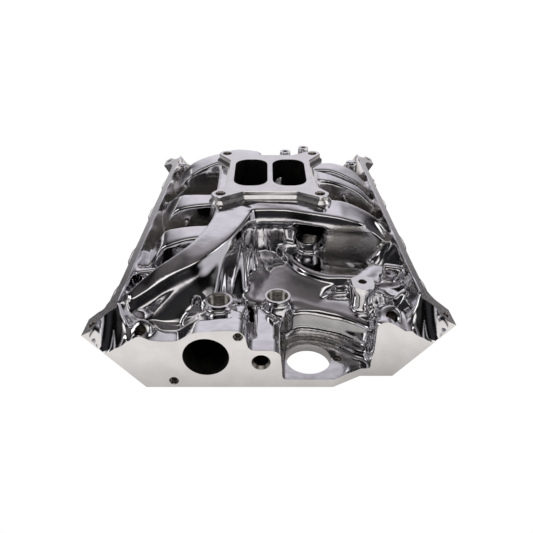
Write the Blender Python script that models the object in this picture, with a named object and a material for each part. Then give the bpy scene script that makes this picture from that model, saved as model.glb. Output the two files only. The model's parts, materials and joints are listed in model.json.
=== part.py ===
"""Polished aluminium intake manifold for a V8 engine, dual plane, with its fitted hardware.

Frame: +X to the right as seen from the front, +Y to the rear, +Z up. The origin is the centre of
the carburettor flange's machined top. Dimensions are in millimetres, with heights measured from
the lower sealing edge, and both change to the frame's metres where each mesh is made.
"""

import math

import bmesh
import bpy
from mathutils import Vector

MM = 0.001
GAP = 0.3  # clearance kept between a fitted piece and the casting

# Head faces: one straight line in the end view, mirrored for the other bank.
FOOT_X = 136.5  # lower corner of a head face, at z = 0
TIP_X = 195.0  # upper corner of a head face at the ends of the casting
TIP_Z = 71.5
FLANGE_TOP_X = 177.0  # upper edge of the head face between the ends
RAIL_TILT = math.radians(27)  # cover rail, sloping down outboard
RAIL_IN_X = 162.0
RAIL_OUT_X = 173.0
LEFT_FRONT = -286.0
LEFT_REAR = 241.0
BANK_OFFSET = 17.5  # the right bank starts this much further back
RIGHT_FRONT = LEFT_FRONT + BANK_OFFSET
RIGHT_REAR = 250.0
RAIL_BOLT_X = 187.0
WING = 36.0  # length of the full-height section at each end of a rail

# Carburettor flange.
STUD_X = 65.5
STUD_Y = 71.5
PAD_Z = 140.0  # height of the machined top at its centre
PAD_TILT = math.radians(2.3)  # rising to the rear
PAD_THICK = 12.0
PAD_HALF_X = 59.0
PAD_HALF_Y = 65.5
EAR_R = 12.0
EAR_STEPS = 16
EAR_BOSS_R = 9.5
EAR_BOSS_LOW = 96.0
EAR_BOSS_LENGTH = 36.0
STUD_HOLE_R = 5.5
BORE_HALF_X = 23.5
BORE_HALF_Y = 47.0
BORE_CORNER = 19.0
BORE_X = 27.0

# Front end.
OUTLET_X = -69.0
OUTLET_Z = 42.5
OUTLET_R = 24.3
OUTLET_BOLTS = {"upper": (-34.4, 69.5), "lower": (-105.5, 9.3)}
TAP_R = 4.6  # hole drilled for a thread insert
RAIL_TAP_R = 3.8
BYPASS_X = -10.8
BYPASS_Z = 35.3
DISTRIBUTOR_X = 42.7
DISTRIBUTOR_Y = -251.0
DISTRIBUTOR_R = 25.2
DISTRIBUTOR_FLOOR = 11.0
CLAMP_BOLT = (75.5, -252.0)
BOWL_X = 60.0  # half-elliptical bowl behind the distributor opening
BOWL_Y = -262.0
BOWL_HALF_X = 52.0
BOWL_DEPTH = 50.0
BOWL_STEPS = 12

WALL = 5.0  # casting wall round the runners
INSERT_WALL = 1.2

# Oil splash shield under the heat crossover, and its drive screws.
SHIELD_Y = -40.0
SHIELD_HALF_X = 100.0
SHIELD_HALF_Y = 42.0
SHIELD_CORNER = 14.0
SHIELD_Z = 7.0
SHIELD_SHEET = 1.2
SHIELD_RIM = 5.0
SCREW_X = (-88.0, 0.0, 88.0)
SCREW_OFF_Y = 33.0
SCREW_HOLE_R = 2.1
CORE_PLUGS = {"left": (-46.0, -50.0), "right": (46.0, -40.0)}
CORE_PLUG_R = 12.0
PLUG_LOW = 9.0  # open lower edge of a core plug

# Tapped bosses: x, y and the height of the top.
RING_TOPS = {
    "heater": (-57.0, -238.0, 83.0),
    "sender": (8.0, -205.0, 66.0),
    "vacuum": (50.0, -105.0, 88.0),
}
RING_R = 15.0
RING_HOLE_R = 11.0
RING_COLLAR = 20.0  # height of the full-width collar and its chamfer, below the top
RING_NECK = 28.0
BRACKET_POST = (106.0, -200.0, 82.0)
REAR_POSTS = ((25.0, 103.0), (55.0, 122.0))
REAR_POST_TOP = 136.0
REAR_POST_FOOT = 60.0
PORT_BOSS_R = 12.0
PORT_TAP_R = 7.5

# Runner centre lines: x, y, z, width, height. The last station lies behind the head face.
RUNNERS = {
    "left_1": (
        (-8, -66, 100, 38, 44), (-46, -98, 100, 40, 48), (-58, -134, 98, 40, 50), (-74, -172, 94, 38, 50),
        (-97, -200, 86, 36, 50), (-122, -215, 70, 36, 50), (-138, -220, 55, 38, 50), (-152, -218, 42, 38, 50),
    ),
    "left_2": (
        (-30, -30, 78, 34, 44), (-62, -88, 82, 36, 46), (-98, -126, 86, 36, 46), (-124, -132, 78, 38, 48),
        (-140, -129, 58, 38, 50), (-152, -128, 43, 38, 50),
    ),
    "left_3": (
        (-34, -24, 84, 36, 48), (-85, -28, 87, 36, 48), (-112, -28, 84, 38, 50), (-130, -22, 68, 40, 50),
        (-142, -13, 54, 38, 50), (-152, -6, 42, 38, 50),
    ),
    "left_4": (
        (20, 48, 100, 38, 44), (-24, 88, 98, 40, 46), (-56, 110, 98, 42, 46), (-81, 113, 97, 42, 48),
        (-104, 108, 90, 42, 50), (-124, 102, 76, 42, 52), (-140, 102, 56, 40, 52), (-152, 104, 42, 38, 50),
    ),
    "right_1": (
        (-20, -40, 58, 36, 40), (8, -78, 54, 38, 40), (36, -122, 50, 40, 42), (66, -148, 48, 42, 44),
        (96, -154, 48, 42, 44), (124, -162, 46, 42, 46), (142, -178, 42, 40, 48), (152, -188, 40, 38, 50),
    ),
    "right_2": (
        (20, -62, 102, 42, 44), (60, -84, 101, 44, 46), (95, -86, 97, 42, 46), (118, -90, 86, 40, 48),
        (136, -94, 64, 40, 50), (152, -94, 43, 38, 50),
    ),
    "right_3": (
        (28, 28, 102, 40, 42), (69, 45, 95, 40, 46), (90, 48, 91, 40, 46), (113, 46, 83, 40, 48),
        (134, 36, 62, 40, 50), (152, 28, 43, 38, 50),
    ),
    "right_4": (
        (-20, 36, 60, 36, 40), (28, 76, 66, 40, 42), (64, 104, 78, 40, 44), (92, 118, 82, 40, 46),
        (118, 116, 76, 40, 48), (138, 106, 56, 40, 50), (152, 102, 42, 38, 50),
    ),
}

# Bulges of the head face's outer edge round the pushrod tunnels: distance from the centre plane and
# half length at each step outward.
TUNNEL_BULGE_PLAN = ((166.0, 25.0), (176.0, 21.0), (181.7, 13.0))
TUNNEL_BULGE_LOW = 38.0
TUNNEL_BULGE_Y = {"left": (-217.0, -126.0, 4.0, 120.0), "right": (-200.0, -90.0, 44.0, 130.0)}
PORT_Y = {"left": (-218.0, -128.0, -6.0, 104.0), "right": (-188.0, -94.0, 28.0, 102.0)}
PUSHROD_SPREAD = 27.0  # each side of a port
PUSHROD_R = 6.5
PUSHROD_INSET = 11.0  # from the head face to a tunnel's centre line
CROSSOVER_Y = {"left": -67.0, "right": -33.0}
HEAD_BOLT_Y = {"left": (-173.0, 49.0, 160.0, 205.0), "right": (-141.0, 65.0, 150.0, 200.0)}
HEAD_BOLT_X = 158.0
HEAD_BOLT_Z = 30.0
HEAD_BOLT_R = 5.2

FORMS = bpy.data.collections.new("forms")
CUTS = bpy.data.collections.new("cuts")
SHIELD_CUTS = bpy.data.collections.new("shield_cuts")
SIDE = {"left": -1, "right": 1}


def clear_scene():
    for obj in list(bpy.data.objects):
        bpy.data.objects.remove(obj, do_unlink=True)


def material(name, colour, metallic, roughness):
    made = bpy.data.materials.new(name)
    made.use_nodes = True
    shader = made.node_tree.nodes["Principled BSDF"]
    shader.inputs["Base Color"].default_value = (*colour, 1.0)
    shader.inputs["Metallic"].default_value = metallic
    shader.inputs["Roughness"].default_value = roughness
    return made


def finish_mesh(name, bm, collection):
    """Moves the bmesh to the frame's origin and metres, turns its faces outward and links it."""
    bmesh.ops.translate(bm, vec=(0, 0, -PAD_Z), verts=bm.verts)
    bmesh.ops.scale(bm, vec=(MM, MM, MM), verts=bm.verts)
    bmesh.ops.recalc_face_normals(bm, faces=bm.faces)
    mesh = bpy.data.meshes.new(name)
    bm.to_mesh(mesh)
    bm.free()
    obj = bpy.data.objects.new(name, mesh)
    collection.objects.link(obj)
    if collection in (FORMS, CUTS):
        obj.hide_render = True
        obj.display_type = "WIRE"
    return obj


def loft(name, rings, collection):
    """Skins rings of points that all have the same count, and caps both ends."""
    bm = bmesh.new()
    loops = [[bm.verts.new(point) for point in ring] for ring in rings]
    for lower, upper in zip(loops, loops[1:]):
        for i in range(len(lower)):
            j = (i + 1) % len(lower)
            bm.faces.new((lower[i], lower[j], upper[j], upper[i]))
    bm.faces.new(loops[0][::-1])
    bm.faces.new(loops[-1])
    return finish_mesh(name, bm, collection)


def prism_y(name, outline, start, end, collection):
    """An outline of (x, z) points carried along Y."""
    rings = [[(x, y, z) for x, z in outline] for y in (start, end)]
    return loft(name, rings, collection)


def prism_z(name, outline, start, end, collection):
    """An outline of (x, y) points carried along Z."""
    rings = [[(x, y, z) for x, y in outline] for z in (start, end)]
    return loft(name, rings, collection)


def hull(name, points, collection):
    bm = bmesh.new()
    for point in points:
        bm.verts.new(point)
    made = bmesh.ops.convex_hull(bm, input=bm.verts)
    unused = [v for v in made["geom_interior"] if isinstance(v, bmesh.types.BMVert)]
    bmesh.ops.delete(bm, geom=unused, context="VERTS")
    return finish_mesh(name, bm, collection)


def turned(name, start, axis, profile, collection, segments=24):
    """Rings of (distance along the axis, radius), from a start point."""
    direction = Vector(axis).normalized()
    side = direction.orthogonal().normalized()
    other = direction.cross(side)
    rings = []
    for along, radius in profile:
        ring = []
        for i in range(segments):
            angle = math.tau * i / segments
            offset = side * math.cos(angle) + other * math.sin(angle)
            ring.append(Vector(start) + direction * along + offset * radius)
        rings.append(ring)
    return loft(name, rings, collection)


def drum(name, start, axis, radius, length, collection, segments=24):
    return turned(name, start, axis, ((0, radius), (length, radius)), collection, segments)


def ring_piece(name, start, axis, outer, inner, length, collection, segments=24):
    """A plain sleeve, open at both ends."""
    direction = Vector(axis).normalized()
    side = direction.orthogonal().normalized()
    other = direction.cross(side)
    bm = bmesh.new()
    loops = []
    for along, radius in ((0, outer), (length, outer), (length, inner), (0, inner)):
        loop = []
        for i in range(segments):
            angle = math.tau * i / segments
            offset = side * math.cos(angle) + other * math.sin(angle)
            loop.append(bm.verts.new(Vector(start) + direction * along + offset * radius))
        loops.append(loop)
    for a in range(4):
        first, second = loops[a], loops[(a + 1) % 4]
        for i in range(segments):
            j = (i + 1) % segments
            bm.faces.new((first[i], first[j], second[j], second[i]))
    return finish_mesh(name, bm, collection)


def rounded_box(half_x, half_y, corner, steps=4):
    """Outline of a rectangle with round corners, anticlockwise."""
    points = []
    for quarter, (sx, sy) in enumerate(((1, 1), (-1, 1), (-1, -1), (1, -1))):
        for i in range(steps + 1):
            angle = math.radians(90) * (quarter + i / steps)
            x = sx * (half_x - corner) + corner * math.cos(angle)
            y = sy * (half_y - corner) + corner * math.sin(angle)
            points.append((x, y))
    return points


def sweep(name, stations, inset, collection, chamfer=0.17):
    """A tube with bevelled corners along the stations, kept upright."""
    centres = [Vector(station[:3]) for station in stations]
    rings = []
    for i, station in enumerate(stations):
        before = centres[max(i - 1, 0)]
        after = centres[min(i + 1, len(centres) - 1)]
        along = (after - before).normalized()
        side = along.cross(Vector((0, 0, 1))).normalized()
        up = side.cross(along)
        half_w = station[3] / 2 - inset
        half_h = station[4] / 2 - inset
        cut = chamfer * min(half_w, half_h) * 2
        flat_w = half_w - cut
        flat_h = half_h - cut
        corners = (
            (half_w, flat_h), (flat_w, half_h), (-flat_w, half_h), (-half_w, flat_h),
            (-half_w, -flat_h), (-flat_w, -half_h), (flat_w, -half_h), (half_w, -flat_h),
        )
        rings.append([centres[i] + side * a + up * b for a, b in corners])
    return loft(name, rings, collection)


def head_z(x):
    """Height of the head face at a distance from the centre plane."""
    return (abs(x) - FOOT_X) * TIP_Z / (TIP_X - FOOT_X)


def rail_z(x):
    """Height of the cover rail's machined top."""
    return TIP_Z + (TIP_X - abs(x)) * math.tan(RAIL_TILT)


def head_normal(side):
    """Outward normal of a head face: outboard and down."""
    slope = math.atan2(TIP_Z, TIP_X - FOOT_X)
    return Vector((SIDE[side] * math.sin(slope), 0, -math.cos(slope)))


def rail_normal(side):
    return Vector((SIDE[side] * math.sin(RAIL_TILT), 0, math.cos(RAIL_TILT)))


def pad_z(y):
    return PAD_Z + y * math.tan(PAD_TILT)


def bank_ends(side):
    return (LEFT_FRONT, LEFT_REAR) if side == "left" else (RIGHT_FRONT, RIGHT_REAR)


def make_rails():
    """The two long flanks: head face below, cover rail above, pushrod ledge between them."""
    for side, sign in SIDE.items():
        front, rear = bank_ends(side)
        inner = [(RAIL_IN_X - 5, rail_z(RAIL_IN_X) - 8), (126, 36), (112, 31), (110, 19), (124, 0)]
        ledge = [(FOOT_X, 0), (FLANGE_TOP_X, head_z(FLANGE_TOP_X)), (167, 66)]
        top = [(RAIL_OUT_X, rail_z(RAIL_OUT_X)), (RAIL_IN_X, rail_z(RAIL_IN_X))]
        outline = [(sign * x, z) for x, z in ledge + top + inner]
        prism_y(f"rail_{side}", outline, front + 2, rear - 2, FORMS)
        full = [(FOOT_X, 0), (TIP_X, TIP_Z), (RAIL_IN_X, rail_z(RAIL_IN_X))]
        outline = [(sign * x, z) for x, z in full + inner]
        prism_y(f"wing_front_{side}", outline, front, front + WING, FORMS)
        prism_y(f"wing_rear_{side}", outline, rear - WING, rear, FORMS)
        for index, y in enumerate(TUNNEL_BULGE_Y[side]):
            points = []
            for x, half in TUNNEL_BULGE_PLAN:
                for z in (TUNNEL_BULGE_LOW, rail_z(x)):
                    points += [(sign * x, y - half, z), (sign * x, y + half, z)]
            hull(f"tunnel_bulge_{side}_{index}", points, FORMS)


def make_valley():
    """Floor between the rails, with the rear sealing wall."""
    floor = [(-118, 20), (118, 20), (118, 31), (60, 36), (-60, 36), (-118, 31)]
    prism_y("valley_floor", floor, -262, 236, FORMS)
    rear = [(-FOOT_X + 4, 0), (FOOT_X - 4, 0), (128, 36), (60, 40), (-60, 40), (-128, 36)]
    prism_y("rear_wall", rear, 222, 240, FORMS)


def make_front():
    """Water outlet housing, bypass web, distributor shelf and right front block."""
    outlet = [
        (-FOOT_X, 0), (-156, 23), (-149, 57), (-136, 70), (-126, 65), (-97, 64), (-79, 74), (-40, 76.5),
        (-31, 75.5), (-27.5, 70), (-27, 62), (-18, 50), (3, 50), (7, 44), (9, 0),
    ]
    prism_y("outlet_wall", outlet, LEFT_FRONT, -262, FORMS)
    box = ((-97, 4), (-97, 64), (-79, 74), (-31, 76), (-25, 60), (-24, 4))
    hull("outlet_box", [(x, y, z) for x, z in box for y in (-270, -216)], FORMS)
    web = ((-264, 4), (-264, 50), (-186, 4), (-186, 54))
    hull("bypass_web", [(x, y, z) for x in (-30, 5) for y, z in web], FORMS)
    shelf = [(6, -286), (68, -286), (100, RIGHT_FRONT), (134, RIGHT_FRONT), (134, -210), (6, -210)]
    prism_z("distributor_shelf", shelf, 0, DISTRIBUTOR_FLOOR, FORMS)
    heel_x = FOOT_X + 28
    block = [(114, 2), (113, 70), (122, 73), (134, 68), (163, 47), (heel_x, head_z(heel_x) + 1), (FOOT_X, 0)]
    prism_y("right_block", block, RIGHT_FRONT, -228, FORMS)
    back = [(2, 2), (2, 52), (30, 60), (60, 62), (95, 50), (130, 62), (130, 2)]
    prism_y("bowl_back", back, -222, -190, FORMS)
    gallery = (
        (-40, -210, 45, 46, 50), (10, -200, 42, 44, 44), (60, -192, 38, 40, 44),
        (104, -205, 40, 40, 46), (134, -222, 42, 40, 50),
    )
    sweep("water_gallery", gallery, 0, FORMS)


def make_plenum():
    """Plenum body, its forward lip and the carburettor flange."""
    base = rounded_box(60, 66, 16, 3)
    top = rounded_box(57, 63, 16, 3)
    rings = [[(x, y, 24) for x, y in base], [(x, y, pad_z(y) - 6) for x, y in top]]
    loft("plenum", rings, FORMS)
    lip = [
        (-48, -98), (-18, -89), (21, -92), (58, -104), (84, -107),
        (84, -62), (78, -20), (-30, -20), (-56, -60),
    ]
    prism_z("plenum_lip", lip, 88, 124, FORMS)
    plate = rounded_box(PAD_HALF_X, PAD_HALF_Y, 8, 2)
    loft("pad", [[(x, y, pad_z(y) - drop) for x, y in plate] for drop in (PAD_THICK, 0)], FORMS)
    for sx in (-1, 1):
        for sy in (-1, 1):
            ear = []
            for i in range(EAR_STEPS):
                angle = math.tau * i / EAR_STEPS
                ear.append((sx * STUD_X + EAR_R * math.cos(angle), sy * STUD_Y + EAR_R * math.sin(angle)))
            ear += [(sx * 34, sy * (PAD_HALF_Y - 1)), (sx * (PAD_HALF_X - 1), sy * 44), (sx * 34, sy * 44)]
            points = [(x, y, pad_z(y) - drop) for x, y in ear for drop in (PAD_THICK, 0)]
            hull(f"pad_ear_{sx}_{sy}", points, FORMS)
            start = (sx * STUD_X, sy * STUD_Y, EAR_BOSS_LOW)
            drum(f"ear_boss_{sx}_{sy}", start, (0, 0, 1), EAR_BOSS_R, EAR_BOSS_LENGTH, FORMS, EAR_STEPS)
            gusset = [(sx * STUD_X, sy * STUD_Y), (sx * 42, sy * 57), (sx * 53, sy * 41)]
            hull(f"ear_gusset_{sx}_{sy}", [(x, y, z) for x, y in gusset for z in (78, 131)], FORMS)


def make_runners():
    for name, stations in RUNNERS.items():
        sweep(f"runner_{name}", stations, 0, FORMS)
    crossover = (
        (-150, CROSSOVER_Y["left"], 34, 46, 30), (-100, -58, 28, 46, 28), (0, -44, 27, 48, 28),
        (100, -36, 28, 46, 28), (150, CROSSOVER_Y["right"], 34, 46, 30),
    )
    sweep("heat_crossover", crossover, 0, FORMS)


def make_bosses():
    """Tapped bosses that stand up from the valley side of the casting."""
    for name, (x, y, top) in RING_TOPS.items():
        neck = top - RING_NECK
        profile = ((0, RING_R + 1), (neck, RING_R - 2), (neck + 2, RING_R), (top - RING_COLLAR, RING_R))
        turned(f"boss_{name}", (x, y, RING_COLLAR), (0, 0, 1), profile, FORMS)
    x, y, top = BRACKET_POST
    turned("bracket_post", (x, y, 14), (0, 0, 1), ((0, 14), (top - 18, 11.5), (top - 14, 13)), FORMS, 16)
    drum("port_boss_left", (-132, -258, 46), (-0.15, -0.62, 0.77), PORT_BOSS_R, 26, FORMS, 20)
    drum("port_boss_right", (130, -240, 46), (-0.05, -0.55, 0.83), PORT_BOSS_R, 30, FORMS, 20)
    height = REAR_POST_TOP - REAR_POST_FOOT
    for index, (x, y) in enumerate(REAR_POSTS):
        drum(f"rear_post_{index}", (x, y, REAR_POST_FOOT), (0, 0, 1), 8.5, height, FORMS, 16)
    web = ((18, 60), (60, 60), (60, 118), (20, 102))
    hull("rear_post_web", [(x, y, z) for x, y in web for z in (50, 116)], FORMS)
    for side, sign in SIDE.items():
        for index, y in enumerate(HEAD_BOLT_Y[side]):
            start = Vector((sign * HEAD_BOLT_X, y, HEAD_BOLT_Z))
            drum(f"bolt_boss_{side}_{index}", start, -head_normal(side), 11, 44, FORMS, 16)


def cut_pad():
    """Two throttle openings; the left one drops into the lower plenum, the right into the upper."""
    outline = rounded_box(BORE_HALF_X, BORE_HALF_Y, BORE_CORNER, 5)
    well = [(x - BORE_X, y) for x, y in outline]
    prism_z("throttle_left", well, 42, 160, CUTS)
    upper = [(x + BORE_X, y) for x, y in outline]
    prism_z("throttle_right", upper, 88, 160, CUTS)
    front = [
        (-34, -84), (-16, -81), (20, -84), (56, -96), (72, -96),
        (72, -66), (46, -36), (6, -36), (-6, -56),
    ]
    prism_z("upper_plenum_front", front, 92, 118, CUTS)
    rear = [(6, 36), (46, 36), (62, 56), (40, 58), (-8, 58), (-12, 52)]
    prism_z("upper_plenum_rear", rear, 92, 118, CUTS)
    for sx in (-1, 1):
        for sy in (-1, 1):
            start = (sx * STUD_X, sy * STUD_Y, pad_z(sy * STUD_Y) - 24)
            drum(f"stud_hole_{sx}_{sy}", start, (0, 0, 1), STUD_HOLE_R, 30, CUTS, 20)


def cut_runners():
    """Gas passages, each carried on through its port in the head face."""
    for name, stations in RUNNERS.items():
        side = name.split("_")[0]
        last = Vector(stations[-1][:3])
        port = last + head_normal(side) * 34
        path = (*stations, (*port, 38, 50))
        sweep(f"passage_{name}", path, WALL, CUTS, 0.28)
    left = Vector((-150, CROSSOVER_Y["left"], 34)) + head_normal("left") * 30
    right = Vector((150, CROSSOVER_Y["right"], 34)) + head_normal("right") * 30
    path = (
        (*left, 40, 28), (-150, CROSSOVER_Y["left"], 34, 40, 26), (-100, -58, 28, 40, 28),
        (0, -44, 27, 42, 28), (100, -36, 28, 40, 28),
        (150, CROSSOVER_Y["right"], 34, 40, 26), (*right, 40, 28),
    )
    sweep("crossover_passage", path, WALL, CUTS)


def cut_front():
    """Water outlet, bypass, distributor opening and the bowl round it."""
    drum("outlet_hole", (OUTLET_X, -290, OUTLET_Z), (0, 1, 0), OUTLET_R, 56, CUTS, 40)
    left = Vector((-134, -266, 26))
    drum("water_port_left", left + head_normal("left") * 40, -head_normal("left"), 13, 60, CUTS, 20)
    left_run = ((-146, -262, 36, 26, 26), (-110, -250, 38, 26, 26), (-70, -246, 40, 26, 26))
    sweep("water_run_left", left_run, 0, CUTS)
    right_run = (
        (-66, -238, 44, 30, 30), (-30, -214, 44, 30, 32), (10, -200, 42, 30, 32), (60, -192, 38, 28, 32),
        (104, -205, 40, 28, 32), (134, -222, 42, 28, 34), (170, -232, 16, 28, 34),
    )
    sweep("water_run_right", right_run, 0, CUTS)
    for name, (x, z) in OUTLET_BOLTS.items():
        drum(f"outlet_bolt_{name}", (x, -290, z), (0, 1, 0), TAP_R, 24, CUTS, 20)
    bypass = ((0, 9.8), (4, 8.0), (60, 7.4), (76, 7.2))
    turned("bypass_hole", (BYPASS_X, -288, BYPASS_Z), (0, 1, 0), bypass, CUTS, 20)
    drum("distributor_hole", (DISTRIBUTOR_X, DISTRIBUTOR_Y, -5), (0, 0, 1), DISTRIBUTOR_R, 30, CUTS, 40)
    bowl = [(BOWL_X - BOWL_HALF_X, -300)]
    for i in range(BOWL_STEPS + 1):
        angle = math.pi * i / BOWL_STEPS
        bowl.append((BOWL_X - BOWL_HALF_X * math.cos(angle), BOWL_Y + BOWL_DEPTH * math.sin(angle)))
    bowl.append((BOWL_X + BOWL_HALF_X, -300))
    prism_z("bowl", bowl, DISTRIBUTOR_FLOOR, 90, CUTS)
    x, y = CLAMP_BOLT
    drum("clamp_bolt_hole", (x, y, -5), (0, 0, 1), TAP_R, 30, CUTS, 20)


def cut_bosses():
    for name, (x, y, top) in RING_TOPS.items():
        depth = 34 if name != "vacuum" else 30
        drum(f"tapping_{name}", (x, y, top + 4), (0, 0, -1), RING_HOLE_R, depth, CUTS)
    x, y, top = BRACKET_POST
    drum("bracket_tapping", (x, y, top + 4), (0, 0, -1), TAP_R, 26, CUTS, 20)
    drum("port_tapping_left", (-137, -279, 70), (0.15, 0.62, -0.77), PORT_TAP_R, 26, CUTS, 20)
    drum("port_tapping_right", (128, -259, 75), (0.05, 0.55, -0.83), PORT_TAP_R, 26, CUTS, 20)
    for index, (x, y) in enumerate(REAR_POSTS):
        drum(f"rear_tapping_{index}", (x, y, REAR_POST_TOP + 6), (0, 0, -1), 3.6, 26, CUTS, 16)


def cut_rails():
    """Pushrod tunnels, head bolts, rail bolt holes and the scooped wings."""
    for side, sign in SIDE.items():
        down = head_normal(side)
        along = Vector((sign * (TIP_X - FOOT_X), 0, TIP_Z)).normalized()
        foot = Vector((sign * FOOT_X, 0, 0)) - down * PUSHROD_INSET
        for port in PORT_Y[side]:
            for spread in (-PUSHROD_SPREAD, PUSHROD_SPREAD):
                start = foot + Vector((0, port + spread, 0)) - along * 25
                drum(f"pushrod_{side}_{port + spread:.0f}", start, along, PUSHROD_R, 140, CUTS, 12)
        for index, y in enumerate(HEAD_BOLT_Y[side]):
            start = Vector((sign * HEAD_BOLT_X, y, HEAD_BOLT_Z)) - down * 50
            drum(f"head_bolt_{side}_{index}", start, down, HEAD_BOLT_R, 90, CUTS, 16)
        for end in ("front", "rear"):
            cut_wing(side, end)
        inner_x = FOOT_X - 40
        outer_x = TIP_X + 40
        below = [(inner_x, head_z(inner_x)), (outer_x, head_z(outer_x)), (TIP_X + 90, -60), (FOOT_X, -80)]
        prism_y(f"head_plane_{side}", [(sign * x, z) for x, z in below], -320, 300, CUTS)


def cut_wing(side, end):
    """The scoop at one end of a rail, and its cover bolt hole."""
    sign = SIDE[side]
    front, rear = bank_ends(side)
    y, inward = (front, 1) if end == "front" else (rear, -1)
    rim = ((184, -1), (172, 12), (166, 28), (150, 30), (150, -1))
    low = ((170.6, -1, 43), (166, 11, 50), (152, -1, 57), (152, 24, 62))
    points = [(sign * x, y + inward * depth, 100) for x, depth in rim]
    points += [(sign * x, y + inward * depth, z) for x, depth, z in low]
    hull(f"scoop_{side}_{end}", points, CUTS)
    normal = rail_normal(side)
    start = rail_bolt(side, end) + normal * 5
    drum(f"rail_bolt_{side}_{end}", start, -normal, RAIL_TAP_R, 17, CUTS, 20)


def rail_bolt(side, end):
    """Centre of a cover bolt hole on the rail's machined surface."""
    front, rear = bank_ends(side)
    y = front + 13 if end == "front" else rear - 13
    return Vector((SIDE[side] * RAIL_BOLT_X, y, rail_z(RAIL_BOLT_X)))


def make_shield_pillars():
    """Short pillars under the floor that the shield is fastened to."""
    for name, (x, y) in screw_places().items():
        drum(f"pillar_{name}", (x, y, SHIELD_Z + SHIELD_SHEET + GAP), (0, 0, 1), 6.0, 16, FORMS, 16)


def cut_underside():
    """Drive screw holes, and the core holes of the heat crossover."""
    for name, (x, y) in screw_places().items():
        drum(f"screw_hole_{name}", (x, y, 4), (0, 0, 1), SCREW_HOLE_R, 12, CUTS, 12)
    for name, (x, y) in CORE_PLUGS.items():
        drum(f"core_hole_{name}", (x, y, 8), (0, 0, 1), CORE_PLUG_R, 16, CUTS, 24)


def screw_places():
    """Name and plan position of each shield screw."""
    places = {}
    for column, x in zip(("left", "middle", "right"), SCREW_X):
        places[f"front_{column}"] = (x, SHIELD_Y - SCREW_OFF_Y)
        places[f"rear_{column}"] = (x, SHIELD_Y + SCREW_OFF_Y)
    return places


def thread_insert(name, start, axis, hole_r, length, steel):
    outer = hole_r - GAP
    inner = outer - INSERT_WALL
    insert = ring_piece(name, start, axis, outer, inner, length, bpy.context.scene.collection, 16)
    insert.data.materials.append(steel)


def make_thread_inserts(steel):
    """Thread inserts pressed flush into each tapped hole that carries a bolt or stud."""
    for ends, sy in (("front", -1), ("rear", 1)):
        for side, sx in SIDE.items():
            start = (sx * STUD_X, sy * STUD_Y, pad_z(sy * STUD_Y) - 18)
            thread_insert(f"carb_stud_insert_{ends}_{side}", start, (0, 0, 1), STUD_HOLE_R, 16.5, steel)
    for name, (x, z) in OUTLET_BOLTS.items():
        start = (x, LEFT_FRONT + 1, z)
        thread_insert(f"outlet_insert_{name}", start, (0, 1, 0), TAP_R, 16, steel)
    x, y = CLAMP_BOLT
    length = DISTRIBUTOR_FLOOR - 1.2
    thread_insert("distributor_clamp_insert", (x, y, 0.6), (0, 0, 1), TAP_R, length, steel)
    x, y, top = BRACKET_POST
    thread_insert("bracket_post_insert", (x, y, top - 19), (0, 0, 1), TAP_R, 14, steel)
    for side in SIDE:
        for end in ("front", "rear"):
            start = rail_bolt(side, end) - rail_normal(side) * 11
            thread_insert(f"rail_insert_{end}_{side}", start, rail_normal(side), RAIL_TAP_R, 10, steel)


def make_core_plugs(steel):
    """Cup plugs pressed into the core holes, open side down."""
    outer = CORE_PLUG_R - GAP
    for name, (x, y) in CORE_PLUGS.items():
        profile = ((0, outer), (6, outer), (7, outer - 1), (5.8, outer - 1.6), (0, outer - 1.2))
        bm = bmesh.new()
        loops = []
        for along, radius in profile:
            ring = []
            for i in range(24):
                angle = math.tau * i / 24
                point = (x + radius * math.cos(angle), y + radius * math.sin(angle), PLUG_LOW + along)
                ring.append(bm.verts.new(point))
            loops.append(ring)
        for first, second in ((0, 1), (1, 2), (3, 4), (4, 0)):
            for i in range(24):
                j = (i + 1) % 24
                bm.faces.new((loops[first][i], loops[first][j], loops[second][j], loops[second][i]))
        bm.faces.new(loops[2])
        bm.faces.new(loops[3])
        plug = finish_mesh(f"crossover_core_plug_{name}", bm, bpy.context.scene.collection)
        plug.data.materials.append(steel)


def make_shield(sheet):
    """Pressed sheet tray with a turned-up rim and six screw holes."""
    scene = bpy.context.scene.collection
    outer = rounded_box(SHIELD_HALF_X, SHIELD_HALF_Y, SHIELD_CORNER, 3)
    inside = (size - SHIELD_SHEET for size in (SHIELD_HALF_X, SHIELD_HALF_Y, SHIELD_CORNER))
    lip = rounded_box(*inside, 3)
    rim_z = SHIELD_Z + SHIELD_RIM
    levels = ((outer, SHIELD_Z), (outer, rim_z), (lip, rim_z), (lip, SHIELD_Z + SHIELD_SHEET))
    rings = [[(x, y + SHIELD_Y, z) for x, y in outline] for outline, z in levels]
    shield = loft("oil_splash_shield", rings, scene)
    for name, (x, y) in screw_places().items():
        cutter = drum(f"shield_hole_{name}", (x, y, 2), (0, 0, 1), SCREW_HOLE_R, 10, CUTS, 12)
        CUTS.objects.unlink(cutter)
        SHIELD_CUTS.objects.link(cutter)
    holes = shield.modifiers.new("screw_holes", "BOOLEAN")
    holes.operation = "DIFFERENCE"
    holes.operand_type = "COLLECTION"
    holes.collection = SHIELD_CUTS
    shield.data.materials.append(sheet)


def make_drive_screws(steel):
    """Domed head under the sheet, and a shank driven up into its pillar."""
    scene = bpy.context.scene.collection
    shank = SCREW_HOLE_R - GAP
    profile = ((-1.8, 2.6), (-1.2, 3.8), (0, 4.2), (0.001, shank), (8, shank), (9, shank - 0.7))
    for name, (x, y) in screw_places().items():
        start = (x, y, SHIELD_Z - GAP)
        screw = turned(f"shield_drive_screw_{name}", start, (0, 0, 1), profile, scene, 16)
        screw.data.materials.append(steel)


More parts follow.
